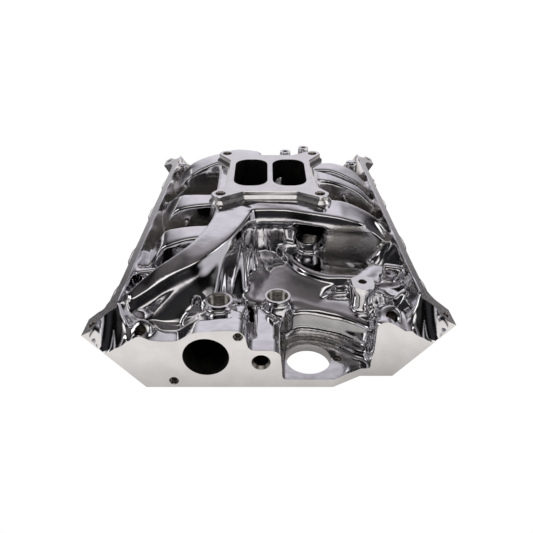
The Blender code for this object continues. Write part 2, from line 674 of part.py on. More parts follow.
def make_casting(aluminium):
    make_rails()
    make_valley()
    make_front()
    make_plenum()
    make_runners()
    make_bosses()
    make_shield_pillars()
    cut_pad()
    cut_runners()
    cut_front()
    cut_bosses()
    cut_rails()
    cut_underside()
    core = [(x, y, z) for x in (-50, 50) for y in (-50, 50) for z in (26, 86)]
    casting = hull("manifold_casting", core, bpy.context.scene.collection)
    join = casting.modifiers.new("cast_together", "BOOLEAN")
    join.operation = "UNION"
    join.operand_type = "COLLECTION"
    join.collection = FORMS
    cut = casting.modifiers.new("machine_and_core", "BOOLEAN")
    cut.operation = "DIFFERENCE"
    cut.operand_type = "COLLECTION"
    cut.collection = CUTS
    casting.data.materials.append(aluminium)


def main():
    clear_scene()
    scene = bpy.context.scene
    scene.collection.children.link(FORMS)
    scene.collection.children.link(CUTS)
    scene.collection.children.link(SHIELD_CUTS)
    aluminium = material("polished_aluminium", (0.86, 0.86, 0.88), 1.0, 0.12)
    insert_steel = material("insert_steel", (0.55, 0.54, 0.52), 1.0, 0.3)
    plated_sheet = material("plated_sheet", (0.62, 0.60, 0.54), 1.0, 0.35)
    make_casting(aluminium)
    make_thread_inserts(insert_steel)
    make_core_plugs(plated_sheet)
    make_shield(plated_sheet)
    make_drive_screws(insert_steel)


main()
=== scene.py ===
"""Visual model of the polished aluminium intake manifold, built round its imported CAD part.

The casting is a distance field: each form is a signed distance in millimetres, with heights from
the lower sealing edge, and forms join with smooth fillets. The field becomes a mesh, and then the
machined faces, bores and passages are cut into it as crisp Booleans.
"""

import json
import math

import bmesh
import bpy
import numpy as np
import openvdb
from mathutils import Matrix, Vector

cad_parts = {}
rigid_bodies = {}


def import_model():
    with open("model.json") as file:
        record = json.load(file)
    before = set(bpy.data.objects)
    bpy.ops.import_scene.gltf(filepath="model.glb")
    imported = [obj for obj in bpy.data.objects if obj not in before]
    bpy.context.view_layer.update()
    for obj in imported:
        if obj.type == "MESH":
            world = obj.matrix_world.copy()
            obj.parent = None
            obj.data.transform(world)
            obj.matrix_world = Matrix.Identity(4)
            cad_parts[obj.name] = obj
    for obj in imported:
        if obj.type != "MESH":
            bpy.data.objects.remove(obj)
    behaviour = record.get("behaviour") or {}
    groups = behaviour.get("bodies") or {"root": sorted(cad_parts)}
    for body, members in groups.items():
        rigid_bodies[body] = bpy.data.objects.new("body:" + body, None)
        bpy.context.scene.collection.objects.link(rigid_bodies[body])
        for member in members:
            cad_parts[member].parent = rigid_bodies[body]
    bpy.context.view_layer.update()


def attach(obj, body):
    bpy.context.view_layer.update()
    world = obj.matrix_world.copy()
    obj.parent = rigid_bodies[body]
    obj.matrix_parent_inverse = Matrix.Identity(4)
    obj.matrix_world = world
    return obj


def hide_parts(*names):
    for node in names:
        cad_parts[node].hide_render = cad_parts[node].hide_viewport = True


MM = 0.001
PAD_Z = 140.0
VOXEL = 2.0
FIELD_LOW = (-206.0, -298.0, -10.0)
FIELD_HIGH = (206.0, 262.0, 150.0)
FAR = 30.0


# ---------------------------------------------------------------- distance field

def smooth_min(a, b, k):
    if k <= 0:
        return np.minimum(a, b)
    h = np.maximum(k - np.abs(a - b), 0) / k
    return np.minimum(a, b) - h * h * k * 0.25


def smooth_max(a, b, k):
    return -smooth_min(-a, -b, k)


class Field:
    """Signed distance of the casting on a regular grid."""

    def __init__(self):
        self.axes = [np.arange(lo, hi, VOXEL, dtype=np.float32) for lo, hi in zip(FIELD_LOW, FIELD_HIGH)]
        self.values = np.full([len(a) for a in self.axes], FAR, np.float32)

    def window(self, form, k):
        margin = k + 4 * VOXEL
        parts = []
        for axis, lo, hi in zip(self.axes, form.low, form.high):
            start = int(np.searchsorted(axis, lo - margin))
            stop = int(np.searchsorted(axis, hi + margin))
            parts.append(slice(start, stop))
        x, y, z = (axis[part] for axis, part in zip(self.axes, parts))
        return tuple(parts), x[:, None, None], y[None, :, None], z[None, None, :]

    def add(self, form, k=4.0):
        where, x, y, z = self.window(form, k)
        self.values[where] = smooth_min(self.values[where], form.distance(x, y, z), k)

    def cut(self, form, k=3.0):
        where, x, y, z = self.window(form, k)
        self.values[where] = smooth_max(self.values[where], -form.distance(x, y, z), k)

    def soften(self, passes):
        """Rounds off creases of about one voxel, so that reflections run clean."""
        self.values = np.clip(self.values, -8, 8)
        for _ in range(passes):
            for axis in range(3):
                v = np.moveaxis(self.values, axis, 0)
                v[1:-1] = 0.25 * v[:-2] + 0.5 * v[1:-1] + 0.25 * v[2:]


class Form:
    def __init__(self, low, high, distance):
        self.low = low
        self.high = high
        self.distance = distance


def curve(points, steps=6):
    """Catmull-Rom curve through points of any dimension."""
    pts = [np.array(p, float) for p in points]
    if len(pts) < 3:
        return pts
    full = [2 * pts[0] - pts[1], *pts, 2 * pts[-1] - pts[-2]]
    made = []
    for a, b, c, d in zip(full, full[1:], full[2:], full[3:]):
        for i in range(steps):
            t = i / steps
            made.append(0.5 * (2 * b + (c - a) * t + (2 * a - 5 * b + 4 * c - d) * t * t
                               + (3 * b - a - 3 * c + d) * t ** 3))
    made.append(pts[-1])
    return made


def polygon(u, v, outline):
    """Signed distance to a closed outline, negative inside."""
    u, v = np.broadcast_arrays(u, v)
    best = np.full(u.shape, 1e9, np.float32)
    inside = np.zeros(u.shape, bool)
    for (ax, ay), (bx, by) in zip(outline, [*outline[1:], outline[0]]):
        ex, ey = bx - ax, by - ay
        wx, wy = u - ax, v - ay
        t = np.clip((wx * ex + wy * ey) / max(ex * ex + ey * ey, 1e-9), 0, 1)
        best = np.minimum(best, (wx - ex * t) ** 2 + (wy - ey * t) ** 2)
        if ay != by:
            crosses = ((ay > v) != (by > v)) & (u < (bx - ax) * (v - ay) / (by - ay) + ax)
            inside ^= crosses
    distance = np.sqrt(best)
    return np.where(inside, -distance, distance)


def nearest(x, y, path):
    """Plan distance to a polyline and the height of its nearest point."""
    best = np.full(np.broadcast(x, y).shape, 1e9, np.float32)
    height = np.zeros_like(best)
    for a, b in zip(path, path[1:]):
        ex, ey = b[0] - a[0], b[1] - a[1]
        wx, wy = x - a[0], y - a[1]
        t = np.clip((wx * ex + wy * ey) / max(ex * ex + ey * ey, 1e-9), 0, 1)
        d = (wx - ex * t) ** 2 + (wy - ey * t) ** 2
        closer = d < best
        best = np.where(closer, d, best)
        height = np.where(closer, a[2] + (b[2] - a[2]) * t, height)
    return np.sqrt(best), height


def extrude(section, along, low, high, edge):
    """A section distance carried between two limits of another coordinate."""
    middle, half = (low + high) / 2, (high - low) / 2
    return smooth_max(section, np.abs(along - middle) - half, edge)


def prism_y(outline, start, end, edge=2.0):
    xs, zs = zip(*outline)

    def distance(x, y, z):
        return extrude(polygon(x, z, outline), y, start, end, edge)

    return Form((min(xs), start, min(zs)), (max(xs), end, max(zs)), distance)


def prism_z(outline, bottom, top, edge=2.0, draft=0.0):
    """A plan outline between two heights; its walls spread downwards with the draft."""
    xs, ys = zip(*outline)
    spread = draft * (top - bottom)

    def distance(x, y, z):
        section = polygon(x, y, outline) - draft * np.clip(top - z, 0, top - bottom)
        return extrude(section, z, bottom, top, edge)

    return Form((min(xs) - spread, min(ys) - spread, bottom), (max(xs) + spread, max(ys) + spread, top),
                distance)


def ribbon(front, back, bottom, edge=3.0, draft=0.06, crown=0.0, steps=6):
    """A wall-sided form whose top spans two edge curves of (x, y, z); bottom is a height."""
    front, back = curve(front, steps), curve(back, steps)
    outline = [(p[0], p[1]) for p in [*front, *back[::-1]]]
    xs, ys, zs = zip(*[(p[0], p[1], p[2]) for p in [*front, *back]])
    highest = max(zs)
    spread = draft * (highest - bottom)

    def distance(x, y, z):
        df, zf = nearest(x, y, front)
        db, zb = nearest(x, y, back)
        share = df / np.maximum(df + db, 1e-3)
        top = zf * (1 - share) + zb * share + crown * 4 * share * (1 - share)
        section = polygon(x, y, outline) - draft * np.clip(highest - z, 0, highest - bottom)
        return smooth_max(smooth_max(section, z - top, edge), bottom - z, 2.0)

    return Form((min(xs) - spread, min(ys) - spread, bottom),
                (max(xs) + spread, max(ys) + spread, max(zs) + crown), distance)


def rib(path, thick, bottom, edge=1.5, draft=0.03):
    """A thin wall whose top follows a curve of (x, y, z)."""
    path = curve(path)
    xs, ys, zs = zip(*[(p[0], p[1], p[2]) for p in path])

    def distance(x, y, z):
        plan, top = nearest(x, y, path)
        section = plan - thick / 2 - draft * np.clip(max(zs) - z, 0, 60)
        return smooth_max(smooth_max(section, z - top, edge), bottom - z, edge)

    return Form((min(xs) - thick, min(ys) - thick, bottom), (max(xs) + thick, max(ys) + thick, max(zs)),
                distance)


def rod(start, end, radius, end_radius=None, edge=1.5):
    """A cylinder or cone with flat ends."""
    start, end = np.array(start, float), np.array(end, float)
    end_radius = radius if end_radius is None else end_radius
    length = float(np.linalg.norm(end - start))
    axis = (end - start) / length
    reach = max(radius, end_radius)

    def distance(x, y, z):
        px, py, pz = x - start[0], y - start[1], z - start[2]
        along = px * axis[0] + py * axis[1] + pz * axis[2]
        away = np.sqrt(np.maximum(px * px + py * py + pz * pz - along * along, 0))
        wide = radius + (end_radius - radius) * np.clip(along / length, 0, 1)
        return extrude(away - wide, along, 0, length, edge)

    low, high = np.minimum(start, end) - reach, np.maximum(start, end) + reach
    return Form(low, high, distance)


def capsule(start, end, radius, end_radius=None):
    start, end = np.array(start, float), np.array(end, float)
    end_radius = radius if end_radius is None else end_radius
    axis = end - start
    reach = max(radius, end_radius)

    def distance(x, y, z):
        px, py, pz = x - start[0], y - start[1], z - start[2]
        t = np.clip((px * axis[0] + py * axis[1] + pz * axis[2]) / float(axis @ axis), 0, 1)
        away = np.sqrt((px - axis[0] * t) ** 2 + (py - axis[1] * t) ** 2 + (pz - axis[2] * t) ** 2)
        return away - radius - (end_radius - radius) * t

    return Form(np.minimum(start, end) - reach, np.maximum(start, end) + reach, distance)


def rounded_tube(stations, corner=0.35):
    """A tube of rounded rectangular section through stations (x, y, z, width, height), kept upright."""
    path = curve([s[:3] for s in stations], 4)
    sizes = curve([s[3:5] for s in stations], 4)
    reach = max(max(s[3:5]) for s in stations) / 2
    low = np.min(path, axis=0) - reach
    high = np.max(path, axis=0) + reach

    def distance(x, y, z):
        best = np.full(np.broadcast(x, y, z).shape, 1e6, np.float32)
        for (a, b), (sa, sb) in zip(zip(path, path[1:]), zip(sizes, sizes[1:])):
            axis = b - a
            length2 = float(axis @ axis)
            flat = math.hypot(axis[0], axis[1])
            side = (axis[1] / flat, -axis[0] / flat)
            px, py, pz = x - a[0], y - a[1], z - a[2]
            t = np.clip((px * axis[0] + py * axis[1] + pz * axis[2]) / length2, 0, 1)
            qx, qy, qz = px - axis[0] * t, py - axis[1] * t, pz - axis[2] * t
            across = np.abs(qx * side[0] + qy * side[1])
            rest = np.sqrt(np.maximum(qx * qx + qy * qy + qz * qz - across * across, 0))
            half_w = (sa[0] + (sb[0] - sa[0]) * t) / 2
            half_h = (sa[1] + (sb[1] - sa[1]) * t) / 2
            radius = corner * np.minimum(half_w, half_h)
            u, v = across - half_w + radius, rest - half_h + radius
            d = np.sqrt(np.maximum(u, 0) ** 2 + np.maximum(v, 0) ** 2) + np.minimum(np.maximum(u, v),
                                                                                    0) - radius
            best = np.minimum(best, d)
        return best

    return Form(low, high, distance)


def meet(first, second, edge=2.0):
    """The part that two forms share."""
    low = np.maximum(first.low, second.low)
    high = np.minimum(first.high, second.high)

    def distance(x, y, z):
        return smooth_max(first.distance(x, y, z), second.distance(x, y, z), edge)

    return Form(low, high, distance)


def side_points(points, sign):
    return [(sign * p[0], *p[1:]) for p in points]


# ---------------------------------------------------------------- shared sizes, in mm

FOOT_X = 136.5
TIP_X = 195.0
TIP_Z = 71.5
RAIL_TILT = math.radians(27)
LEFT_FRONT = -286.0
LEFT_REAR = 241.0
RIGHT_FRONT = -268.5
RIGHT_REAR = 250.0
PAD_TILT = math.radians(2.3)
STUD_X = 65.5
STUD_Y = 71.5
SIDES = {"left": -1, "right": 1}
ENDS = {"left": (LEFT_FRONT, LEFT_REAR), "right": (RIGHT_FRONT, RIGHT_REAR)}
BUMP_Y = {"left": (-217, -126, 4, 120), "right": (-200, -90, 44, 130)}
PORT_Y = {"left": (-218.0, -128.0, -6.0, 104.0), "right": (-188.0, -94.0, 28.0, 102.0)}
HEAD_BOLT_Y = {"left": (-173.0, 49.0, 160.0, 205.0), "right": (-141.0, 65.0, 150.0, 200.0)}
HEAD_BOLT_X = 158
HEAD_BOLT_Z = 30
RAIL_BOLT_X = 187
RAIL_BOLT_IN = 13  # from the end of a rail
OUTLET_BOLTS = {"upper": (-34.4, 69.5), "lower": (-105.5, 9.3)}
CLAMP_BOLT = (75.5, -252)
BRACKET_POST = (106, -200)
REAR_POSTS = ((25, 103), (55, 122))
RING_BOSSES = ((-57, -238, 83, 11.2), (8, -205, 66, 11.0), (50, -105, 88, 11.5))  # x, y, top, bore radius
SHIELD_Y = -40.0
SHIELD_Z = 7.0
SCREW_X = (-88.0, 0.0, 88.0)
SCREW_OFF_Y = 33.0
PUSHROD_SPREAD = 27.0  # each side of a port
PUSHROD_INSET = 11  # from the head face to a tunnel's centre line
PUSHROD_R = 6.5
PASSAGE_WALL = 5.2
UP = (0, 0, 1)
DOWN = (0, 0, -1)


def head_z(x):
    return (abs(x) - FOOT_X) * TIP_Z / (TIP_X - FOOT_X)


def rail_z(x):
    return TIP_Z + (TIP_X - abs(x)) * math.tan(RAIL_TILT)


def pad_z(y):
    return PAD_Z + y * math.tan(PAD_TILT)


def head_normal(side):
    slope = math.atan2(TIP_Z, TIP_X - FOOT_X)
    return Vector((SIDES[side] * math.sin(slope), 0, -math.cos(slope)))


def rail_normal(side):
    return Vector((SIDES[side] * math.sin(RAIL_TILT), 0, math.cos(RAIL_TILT)))


# ---------------------------------------------------------------- cast forms

def rail_bolts(side):
    """Centres of the two cover bolt holes on a rail's machined surface."""
    front, rear = ENDS[side]
    return [Vector((SIDES[side] * RAIL_BOLT_X, y, rail_z(RAIL_BOLT_X)))
            for y in (front + RAIL_BOLT_IN, rear - RAIL_BOLT_IN)]


def add_rails(field):
    inner = [(162, 93), (157.5, 80), (150, 66), (128, 38), (112, 31), (110, 18), (121, -6)]
    for side, sign in SIDES.items():
        front, rear = ENDS[side]
        flange = side_points([(142, -6), (181.5, 47), (168, 60), (174.5, 87), *inner], sign)
        field.add(prism_y(flange, front - 4, rear + 4, 1.5), 3)
        for y in BUMP_Y[side]:
            bump = side_points([(166, y - 26), (174, y - 23), (178.5, y - 19), (181.7, y - 11),
                                (181.7, y + 11),
                                (178.5, y + 19), (174, y + 23), (166, y + 26)], sign)
            slope = side_points([(150, 36), (190, 36), (190, 68), (166, 84), (150, 84)], sign)
            field.add(meet(prism_z(bump, 36, 90, 1.0), prism_y(slope, y - 30, y + 30, 1.0), 1.0), 1.5)
        wing = side_points([(142, -6), (203, 68), (203, 78), *inner], sign)
        for y, way in ((front, 1), (rear, -1)):
            plan = side_points([(120, y - way * 5), (204, y - way * 5), (204, y + way * 21),
                                (181, y + way * 38),
                                (172, y + way * 60), (120, y + way * 60)], sign)
            low, high = sorted((y - way * 4, y + way * 62))
            field.add(meet(prism_y(wing, low, high, 1.0), prism_z(plan, -6, 96, 1.0), 1.0), 3)


def cut_wings(field):
    """Two scoops in the end of each rail, with a rib between them."""
    for side, sign in SIDES.items():
        for y, way in ((ENDS[side][0], 1), (ENDS[side][1], -1)):
            def place(x, depth, z):
                return (sign * x, y + way * depth, z)
            for start, end, radius, end_radius in (
                (place(181, -4, 68), place(171, 4, 84), 7.5, 10),
                (place(174.5, -4, 55), place(170, 6, 84), 8, 11),
                (place(171, -2, 58), place(168, 16, 92), 8, 12),
                (place(158, -4, 64), place(152, 20, 98), 7.5, 14),
                (place(162, -6, 58), place(157, 10, 80), 6.5, 9),
                (place(148, -5, 76), place(144, 18, 100), 8, 14),
            ):
                field.cut(capsule(start, end, radius, end_radius), 2.5)


def add_valley(field):
    floor = [(-120, -262), (-2, -262), (-2, -200), (120, -200), (120, 236), (-120, 236)]
    field.add(prism_z(floor, 20, 34, 2), 6)
    rear = [(-FOOT_X + 4, -5), (FOOT_X - 4, -5), (128, 36), (60, 40), (-60, 40), (-128, 36)]
    field.add(prism_y(rear, 222, 245, 2), 6)


def add_front(field):
    """Water outlet housing, deck, bypass web, distributor bowl and the right front block."""
    wall = [
        (-136.5, -6), (-158, 22), (-152, 50), (-149, 57.5), (-143, 67), (-137, 71), (-131, 68.5), (-126, 65),
        (-112, 63.5), (-97, 64), (-88, 69.5), (-79, 74), (-60, 76), (-40, 76.5), (-33, 75.5), (-28.5, 71.5),
        (-27, 64), (-25, 56), (-21, 51.5), (-16, 50), (2, 50), (6, 48), (8, 42), (10, 10), (10, -6),
    ]
    field.add(prism_y(wall, LEFT_FRONT - 5, -264, 1.0), 3)
    deck = [(-150, -291), (-90, -291), (-82, -250), (-74, -226), (-100, -226), (-130, -228), (-150, -226)]
    field.add(prism_z(deck, 10, 55, 3, 0.05), 8)
    box = [(-96, 4), (-97, 62), (-88, 69.5), (-79, 74.5), (-60, 76), (-40, 76.5), (-32, 75), (-27, 68),
           (-25, 4)]
    field.add(prism_y(box, -291, -246, 1.5), 4)
    behind = [(-92, -250), (-32, -250), (-26, -222), (-60, -214), (-96, -222)]
    field.add(prism_z(behind, 10, 66, 4, 0.1), 8)
    web = [(-19, -290), (4, -290), (4, -225), (2, -200), (-20, -200), (-19, -225)]
    field.add(prism_z(web, 6, 50.5, 1.5, 0.04), 4)
    field.add(prism_z([(-31, -290), (10, -290), (10, -190), (-31, -190)], 0, 30, 2, 0.02), 4)
    shelf = [(0, -292), (67, -292), (101, RIGHT_FRONT - 5), (140, RIGHT_FRONT - 5), (140, -205), (0, -205)]
    field.add(prism_z(shelf, -6, 11, 0.5), 3)
    field.add(capsule((114.5, -264, 70), (119, -264, 20), 4.5), 2)
    block = [(117, -6), (113, 18), (113.5, 60), (115, 72), (121, 76), (128, 74), (135, 69), (147, 60),
             (160, 48),
             (170, 38), (142, -6)]
    field.add(prism_y(block, RIGHT_FRONT - 5, -232, 1.5), 4)
    rim = [(10, -291), (10.5, -240), (14, -222), (22, -213), (36, -208), (56, -210), (79, -218), (97, -230),
           (108, -240), (113, -252), (113, -266), (124, -266), (124, -200), (2, -190), (2, -291)]
    field.add(prism_z(rim, -4, 47, 2.5, 0.03), 4)
    step = [(8, -276), (13, -240), (19, -228), (30, -221), (45, -220), (60, -223), (74, -229), (97, -247),
            (108, -252), (113, -258), (126, -258), (126, -200), (6, -200)]
    field.add(prism_z(step, -4, 20, 3, 0.05), 5)


def shifted(path, dy, dz):
    return [(x, y + dy, z + dz) for x, y, z in path]


def add_front_walls(field):
    """The sloping walls under the front runners, down to the stepped ledge and the bowl's ridge."""
    ledge = [(-160, -236, 66), (-148, -240, 62), (-138, -243, 56.5), (-126, -244.5, 54.5), (-108, -243, 56),
             (-99, -240, 61), (-90, -236, 67), (-78, -232, 70.5), (-64, -226, 71)]
    under_one = [(-156, -240, 78), (-140, -232, 86), (-128, -226, 90), (-108, -216, 98), (-86, -207, 106),
                 (-69, -191, 110), (-51, -170, 112)]
    field.add(ribbon(ledge, under_one, 20, 1.5, 0.0, -1.5), 3)
    tread = shifted(ledge, -4.5, -2.5)
    field.add(ribbon(tread, ledge, 20, 1.0, 0.0), 1.0)
    lower = shifted(ledge, -8.5, -9)
    field.add(ribbon(lower, tread, 20, 1.5, 0.0), 1.5)
    field.add(rib(shifted(ledge, 0, 1.4), 3.2, 30, 1.0, 0.0), 1.0)
    field.add(rib(shifted(lower, 0, 1.2), 3.2, 30, 1.0, 0.0), 1.0)
    apron = shifted(ledge, -20, -20)
    field.add(ribbon(apron, lower, 10, 3.0, 0.0, -2.0), 3)
    ridge = [(-32, -186, 48), (-10, -193, 49), (12, -194, 50), (32, -195, 50), (55, -204, 48), (86, -215, 47),
             (112, -234, 49)]
    under_eight = [(-34, -102, 62), (-12, -98, 66), (6, -106, 67), (24, -136, 66), (41, -159, 66),
                   (66, -173, 66), (90, -176, 65), (128, -182, 62)]
    field.add(ribbon(ridge, under_eight, 10, 2.0, 0.0, -3.0), 5)
    lip = shifted(ridge, -6, -5)
    field.add(ribbon(lip, ridge, 10, 2.0, 0.0), 4)
    arch = [(56, -200), (60, -190), (68, -182), (79, -178), (95, -178), (95, -207), (76, -205)]
    field.cut(prism_z(arch, 50.5, 72, 2.0), 2)
    back = [(6, -80), (70, -80), (128, -150), (150, -190), (150, -230), (118, -232), (92, -200), (40, -176),
            (4, -160)]
    field.add(prism_z(back, 10, 46, 4, 0.02), 6)


def add_plenum(field):
    body = [(-54, -70), (-46, -80), (-22, -82), (14, -82), (40, -88), (60, -92), (72, -84), (66, 60),
            (56, 68),
            (-56, 68), (-64, 58), (-64, -60)]
    field.add(prism_z(body, 20, 124, 4, 0.01), 6)
    shoulder = [(-74, -60), (-66, -66), (-58, -66), (-58, 60), (-70, 60), (-76, 50)]
    field.add(prism_z(shoulder, 90, 128, 6, 0.12), 6)
    field.add(prism_z([(58, -66), (66, -60), (68, 56), (58, 62)], 90, 126, 5, 0.1), 6)
    for x, depth in ((-24, 3.4), (-13.5, 4.2), (-3, 3.4)):
        field.add(capsule((x, -83, 116), (x + 2, -94, 58), depth, depth + 2), 3)
    for x, radius in ((4, 4.2), (14, 4.6)):
        field.add(capsule((x, -88, 96), (x, -98, 60), radius, radius + 2), 3)


def add_runners(field):
    one_front = [(-22, -92, 124), (-37, -140, 123), (-51, -170, 120), (-69, -194, 116), (-86, -210, 112),
                 (-108, -219, 104), (-128, -230, 96), (-151, -243, 87)]
    one_back = [(-68, -66, 126), (-74, -122, 123), (-90, -170, 120), (-110, -195, 114), (-127, -210, 108),
                (-142, -219, 98), (-154, -233, 90)]
    field.add(ribbon(one_front, one_back, 40, 3.5, 0.05, 0.8), 5)
    shoulder = shifted(one_front, -3.5, -9)
    field.add(ribbon(shoulder, one_back, 40, 7, 0.07), 5)
    lip_front = [(-30, -96, 124), (-18, -92, 124), (21, -93, 124), (58, -105, 124), (93, -109, 120),
                 (115, -109, 114), (137, -109, 104), (151, -107, 93)]
    lip_back = [(-60, -60, 126), (-20, -58, 126), (40, -58, 126), (75, -64, 124), (98, -62, 120),
                (118, -69, 114),
                (142, -84, 104), (156, -99, 92)]
    field.add(ribbon(lip_front, lip_back, 108, 3.0, 0.3), 4)
    under = shifted(lip_front, -3.0, -8)
    field.add(ribbon(under, lip_back, 100, 4, 0.1), 4)
    field.add(ribbon([(58, -98, 116), (93, -103, 112), (115, -104, 106), (137, -106, 96), (152, -106, 84)],
                     lip_back,
                     52, 4, 0.12), 6)
    two_front = [(-60, -136, 112), (-82, -142, 110), (-102, -146, 109), (-122, -149, 104), (-136, -150, 97),
                 (-148, -150, 80)]
    two_back = [(-60, -108, 112), (-82, -109, 110), (-98, -110, 110), (-119, -112, 108), (-136, -113, 103),
                (-150, -116, 82)]
    field.add(ribbon(two_front, two_back, 30, 3, 0.06, 0.6), 5)
    three_front = [(-56, -44, 112), (-83, -45, 110), (-106, -48, 109), (-126, -49, 105), (-138, -48, 96),
                   (-149, -44, 74)]
    three_back = [(-56, -8, 112), (-84, -9, 110), (-111, -9, 110), (-132, -4, 106), (-146, 0, 96),
                  (-154, 3, 76)]
    field.add(ribbon(three_front, three_back, 30, 3, 0.06, 0.6), 5)
    four_front = [(-40, 84, 126), (-60, 90, 125), (-80, 91, 122), (-100, 84, 117), (-121, 76, 109),
                  (-136, 76, 98),
                  (-150, 80, 80)]
    four_back = [(-20, 124, 126), (-50, 134, 126), (-82, 135, 122), (-105, 132, 117), (-127, 123, 110),
                 (-143, 114, 98), (-154, 110, 80)]
    field.add(ribbon(four_front, four_back, 40, 3, 0.06, 1.0), 6)
    hump = [(-12, 128), (-30, 140), (-52, 142), (-70, 132), (-64, 70), (-12, 66)]
    field.add(prism_z(hump, 50, 127, 8, 0.05), 8)
    six_front = [(54, 20, 120), (68, 24, 118), (88, 32, 114), (112, 33, 106), (136, 22, 97), (152, 10, 84)]
    six_back = [(54, 66, 120), (70, 66, 118), (90, 63, 114), (116, 56, 106), (140, 42, 97), (156, 22, 84)]
    field.add(ribbon(six_front, six_back, 30, 3, 0.06, 0.8), 5)
    seven_front = [(20, 84, 100), (60, 98, 104), (92, 104, 104), (116, 98, 100), (140, 84, 92), (158, 62, 82)]
    seven_back = [(10, 120, 100), (44, 130, 104), (80, 133, 106), (110, 138, 104), (140, 122, 97),
                  (160, 84, 84)]
    field.add(ribbon(seven_front, seven_back, 40, 3, 0.06, 0.8), 5)
    eight_front = [(6, -92, 75), (14, -112, 74), (24, -132, 73), (41, -155, 71), (66, -170, 70),
                   (90, -172, 70),
                   (118, -176, 69), (146, -190, 64)]
    eight_back = [(20, -78, 76), (44, -90, 75), (68, -126, 71), (93, -133, 70), (123, -134, 70),
                  (142, -140, 69),
                  (150, -150, 68), (156, -164, 64)]
    field.add(ribbon(eight_front, eight_back, 14, 3, 0.06), 5)
    crossover = ((-150, -67, 34, 46, 30), (-100, -58, 28, 46, 28), (0, -44, 27, 48, 28),
                 (100, -36, 28, 46, 28),
                 (150, -33, 34, 46, 30))
    field.add(rounded_tube(crossover), 6)


def add_bosses(field):
    for x, y, top, _ in RING_BOSSES[:2]:
        field.add(rod((x, y, 20), (x, y, top - 9), 18, 16.8, 1.0), 3)
        field.add(rod((x, y, 20), (x, y, top - 4), 13.8, edge=0.5), 1)
        field.add(rod((x, y, top - 5.5), (x, y, top + 4), 15.4, edge=1.0), 0.5)
    field.cut(rod((50, -105, 74), (50, -105, 106), 20.5, edge=3), 3)
    field.add(rod((50, -105, 40), (50, -105, 74), 18.5, 16.8, 1), 3)
    field.add(rod((50, -105, 40), (50, -105, 84), 13.6, edge=0.5), 1)
    field.add(rod((50, -105, 81), (50, -105, 92), 16.2, edge=1.0), 0.5)
    for i in range(8):
        angle = math.radians(22.5 + 45 * i)
        x, y = 50 + 14.0 * math.cos(angle), -105 + 14.0 * math.sin(angle)
        field.add(capsule((x, y, 72), (x, y, 82), 1.8), 1.0)
    plate = [(94, -214), (117, -217), (121, -192), (106, -186), (93, -192)]
    field.add(prism_z(plate, 73, 86, 1.0, 0.0), 1.5)
    field.add(rod((106, -206, 24), (106, -206, 80), 11.5, 11, 1.5), 3)
    field.add(rod((-128, -248, 40), (-136.5, -274, 71), 13, 11.5, 1.5), 5)
    field.add(rod((128, -226, 44), (131, -252, 73), 13, 11.5, 1.5), 5)
    for x, y in REAR_POSTS:
        field.add(rod((x, y, 50), (x, y, 140), 8.8, edge=1.0), 3)
    field.add(rod((140, 158, 40), (142, 158, 100), 12, 9.5, 1.5), 4)
    field.add(rod((-150, 150, 40), (-149, 146, 100), 12, 8, 1.5), 4)
    for side, sign in SIDES.items():
        normal = head_normal(side)
        for y in HEAD_BOLT_Y[side]:
            start = Vector((sign * HEAD_BOLT_X, y, HEAD_BOLT_Z)) + normal * 6
            field.add(rod(start, start - normal * 48, 11.5, 10.5, 1.5), 5)


def add_ribs(field):
    """Thin stiffening webs between the runners and the rails."""
    ribs = [
        ([(-128, 84, 92), (-145, 40, 86), (-158, 10, 84)], 3.5, 40),
        ([(-112, -46, 92), (-128, -78, 80), (-150, -92, 76)], 3.5, 40),
        ([(-84, -90, 74), (-112, -80, 72), (-136, -60, 78)], 3.5, 40),
        ([(-110, -100, 84), (-118, -80, 74)], 3.5, 40),
        ([(124, -132, 72), (140, -118, 82), (154, -104, 88)], 5.0, 40),
        ([(112, 30, 92), (128, -10, 84), (156, -40, 84)], 4.0, 40),
        ([(76, 10, 92), (70, -30, 92), (84, -60, 96)], 4.0, 40),
        ([(118, 64, 92), (140, 78, 86), (158, 90, 86)], 4.0, 40),
        ([(-66, -104, 76), (-70, -90, 84), (-66, -70, 96)], 4.0, 40),
    ]
    for path, thick, bottom in ribs:
        field.add(rib(path, thick, bottom, 1.5), 3)


def add_details(field):
    field.add(prism_z([(-92, -222), (-74, -224), (-74, -205), (-92, -205)], 40, 80, 1.5), 3)
    field.cut(prism_z([(-87, -232), (-79, -232), (-79, -216), (-87, -216)], 66, 76, 1.5), 1.5)
    for x, y, radius in ((-65, -170, 11), (-43, -138, 11.5), (-31, -104, 9)):
        field.add(capsule((x, y, 98), (x + 2, y - 32, 36), radius, radius + 4), 4)
    nub = [(-164, -190), (-136, -182), (-134, -174), (-160, -176)]
    field.add(prism_z(nub, 50, 87, 1.2), 2)
    field.cut(prism_z([(-158, -200), (-146, -200), (-146, -181), (-158, -181)], 66, 82, 1.5), 1.5)
    nub = [(134, -172), (156, -178), (157, -168), (136, -162)]
    field.add(prism_z(nub, 50, 87, 2.0), 3)
    block = [(119, -192), (128, -187), (150, -185), (157, -196), (153, -212), (140, -221), (128, -219),
             (120, -208)]
    field.add(prism_z(block, 30, 76, 2.5, 0.05), 4)
    dish = ((129, -198, 80), (147, -195, 80), (139, -211, 80))
    for a, b in zip(dish, (*dish[1:], dish[0])):
        field.cut(capsule(a, b, 8.5), 3)
    for sign, y in ((-1, 216), (1, 226)):
        field.add(rib([(sign * 150, y - 60, 70), (sign * 158, y - 20, 84), (sign * 160, y, 88)], 4, 40), 3)


def cast_field():
    field = Field()
    add_valley(field)
    add_rails(field)
    add_front(field)
    add_front_walls(field)
    add_plenum(field)
    add_runners(field)
    add_bosses(field)
    add_ribs(field)
    add_details(field)
    cut_wings(field)
    field.soften(2)
    return field


# ---------------------------------------------------------------- mesh of the field

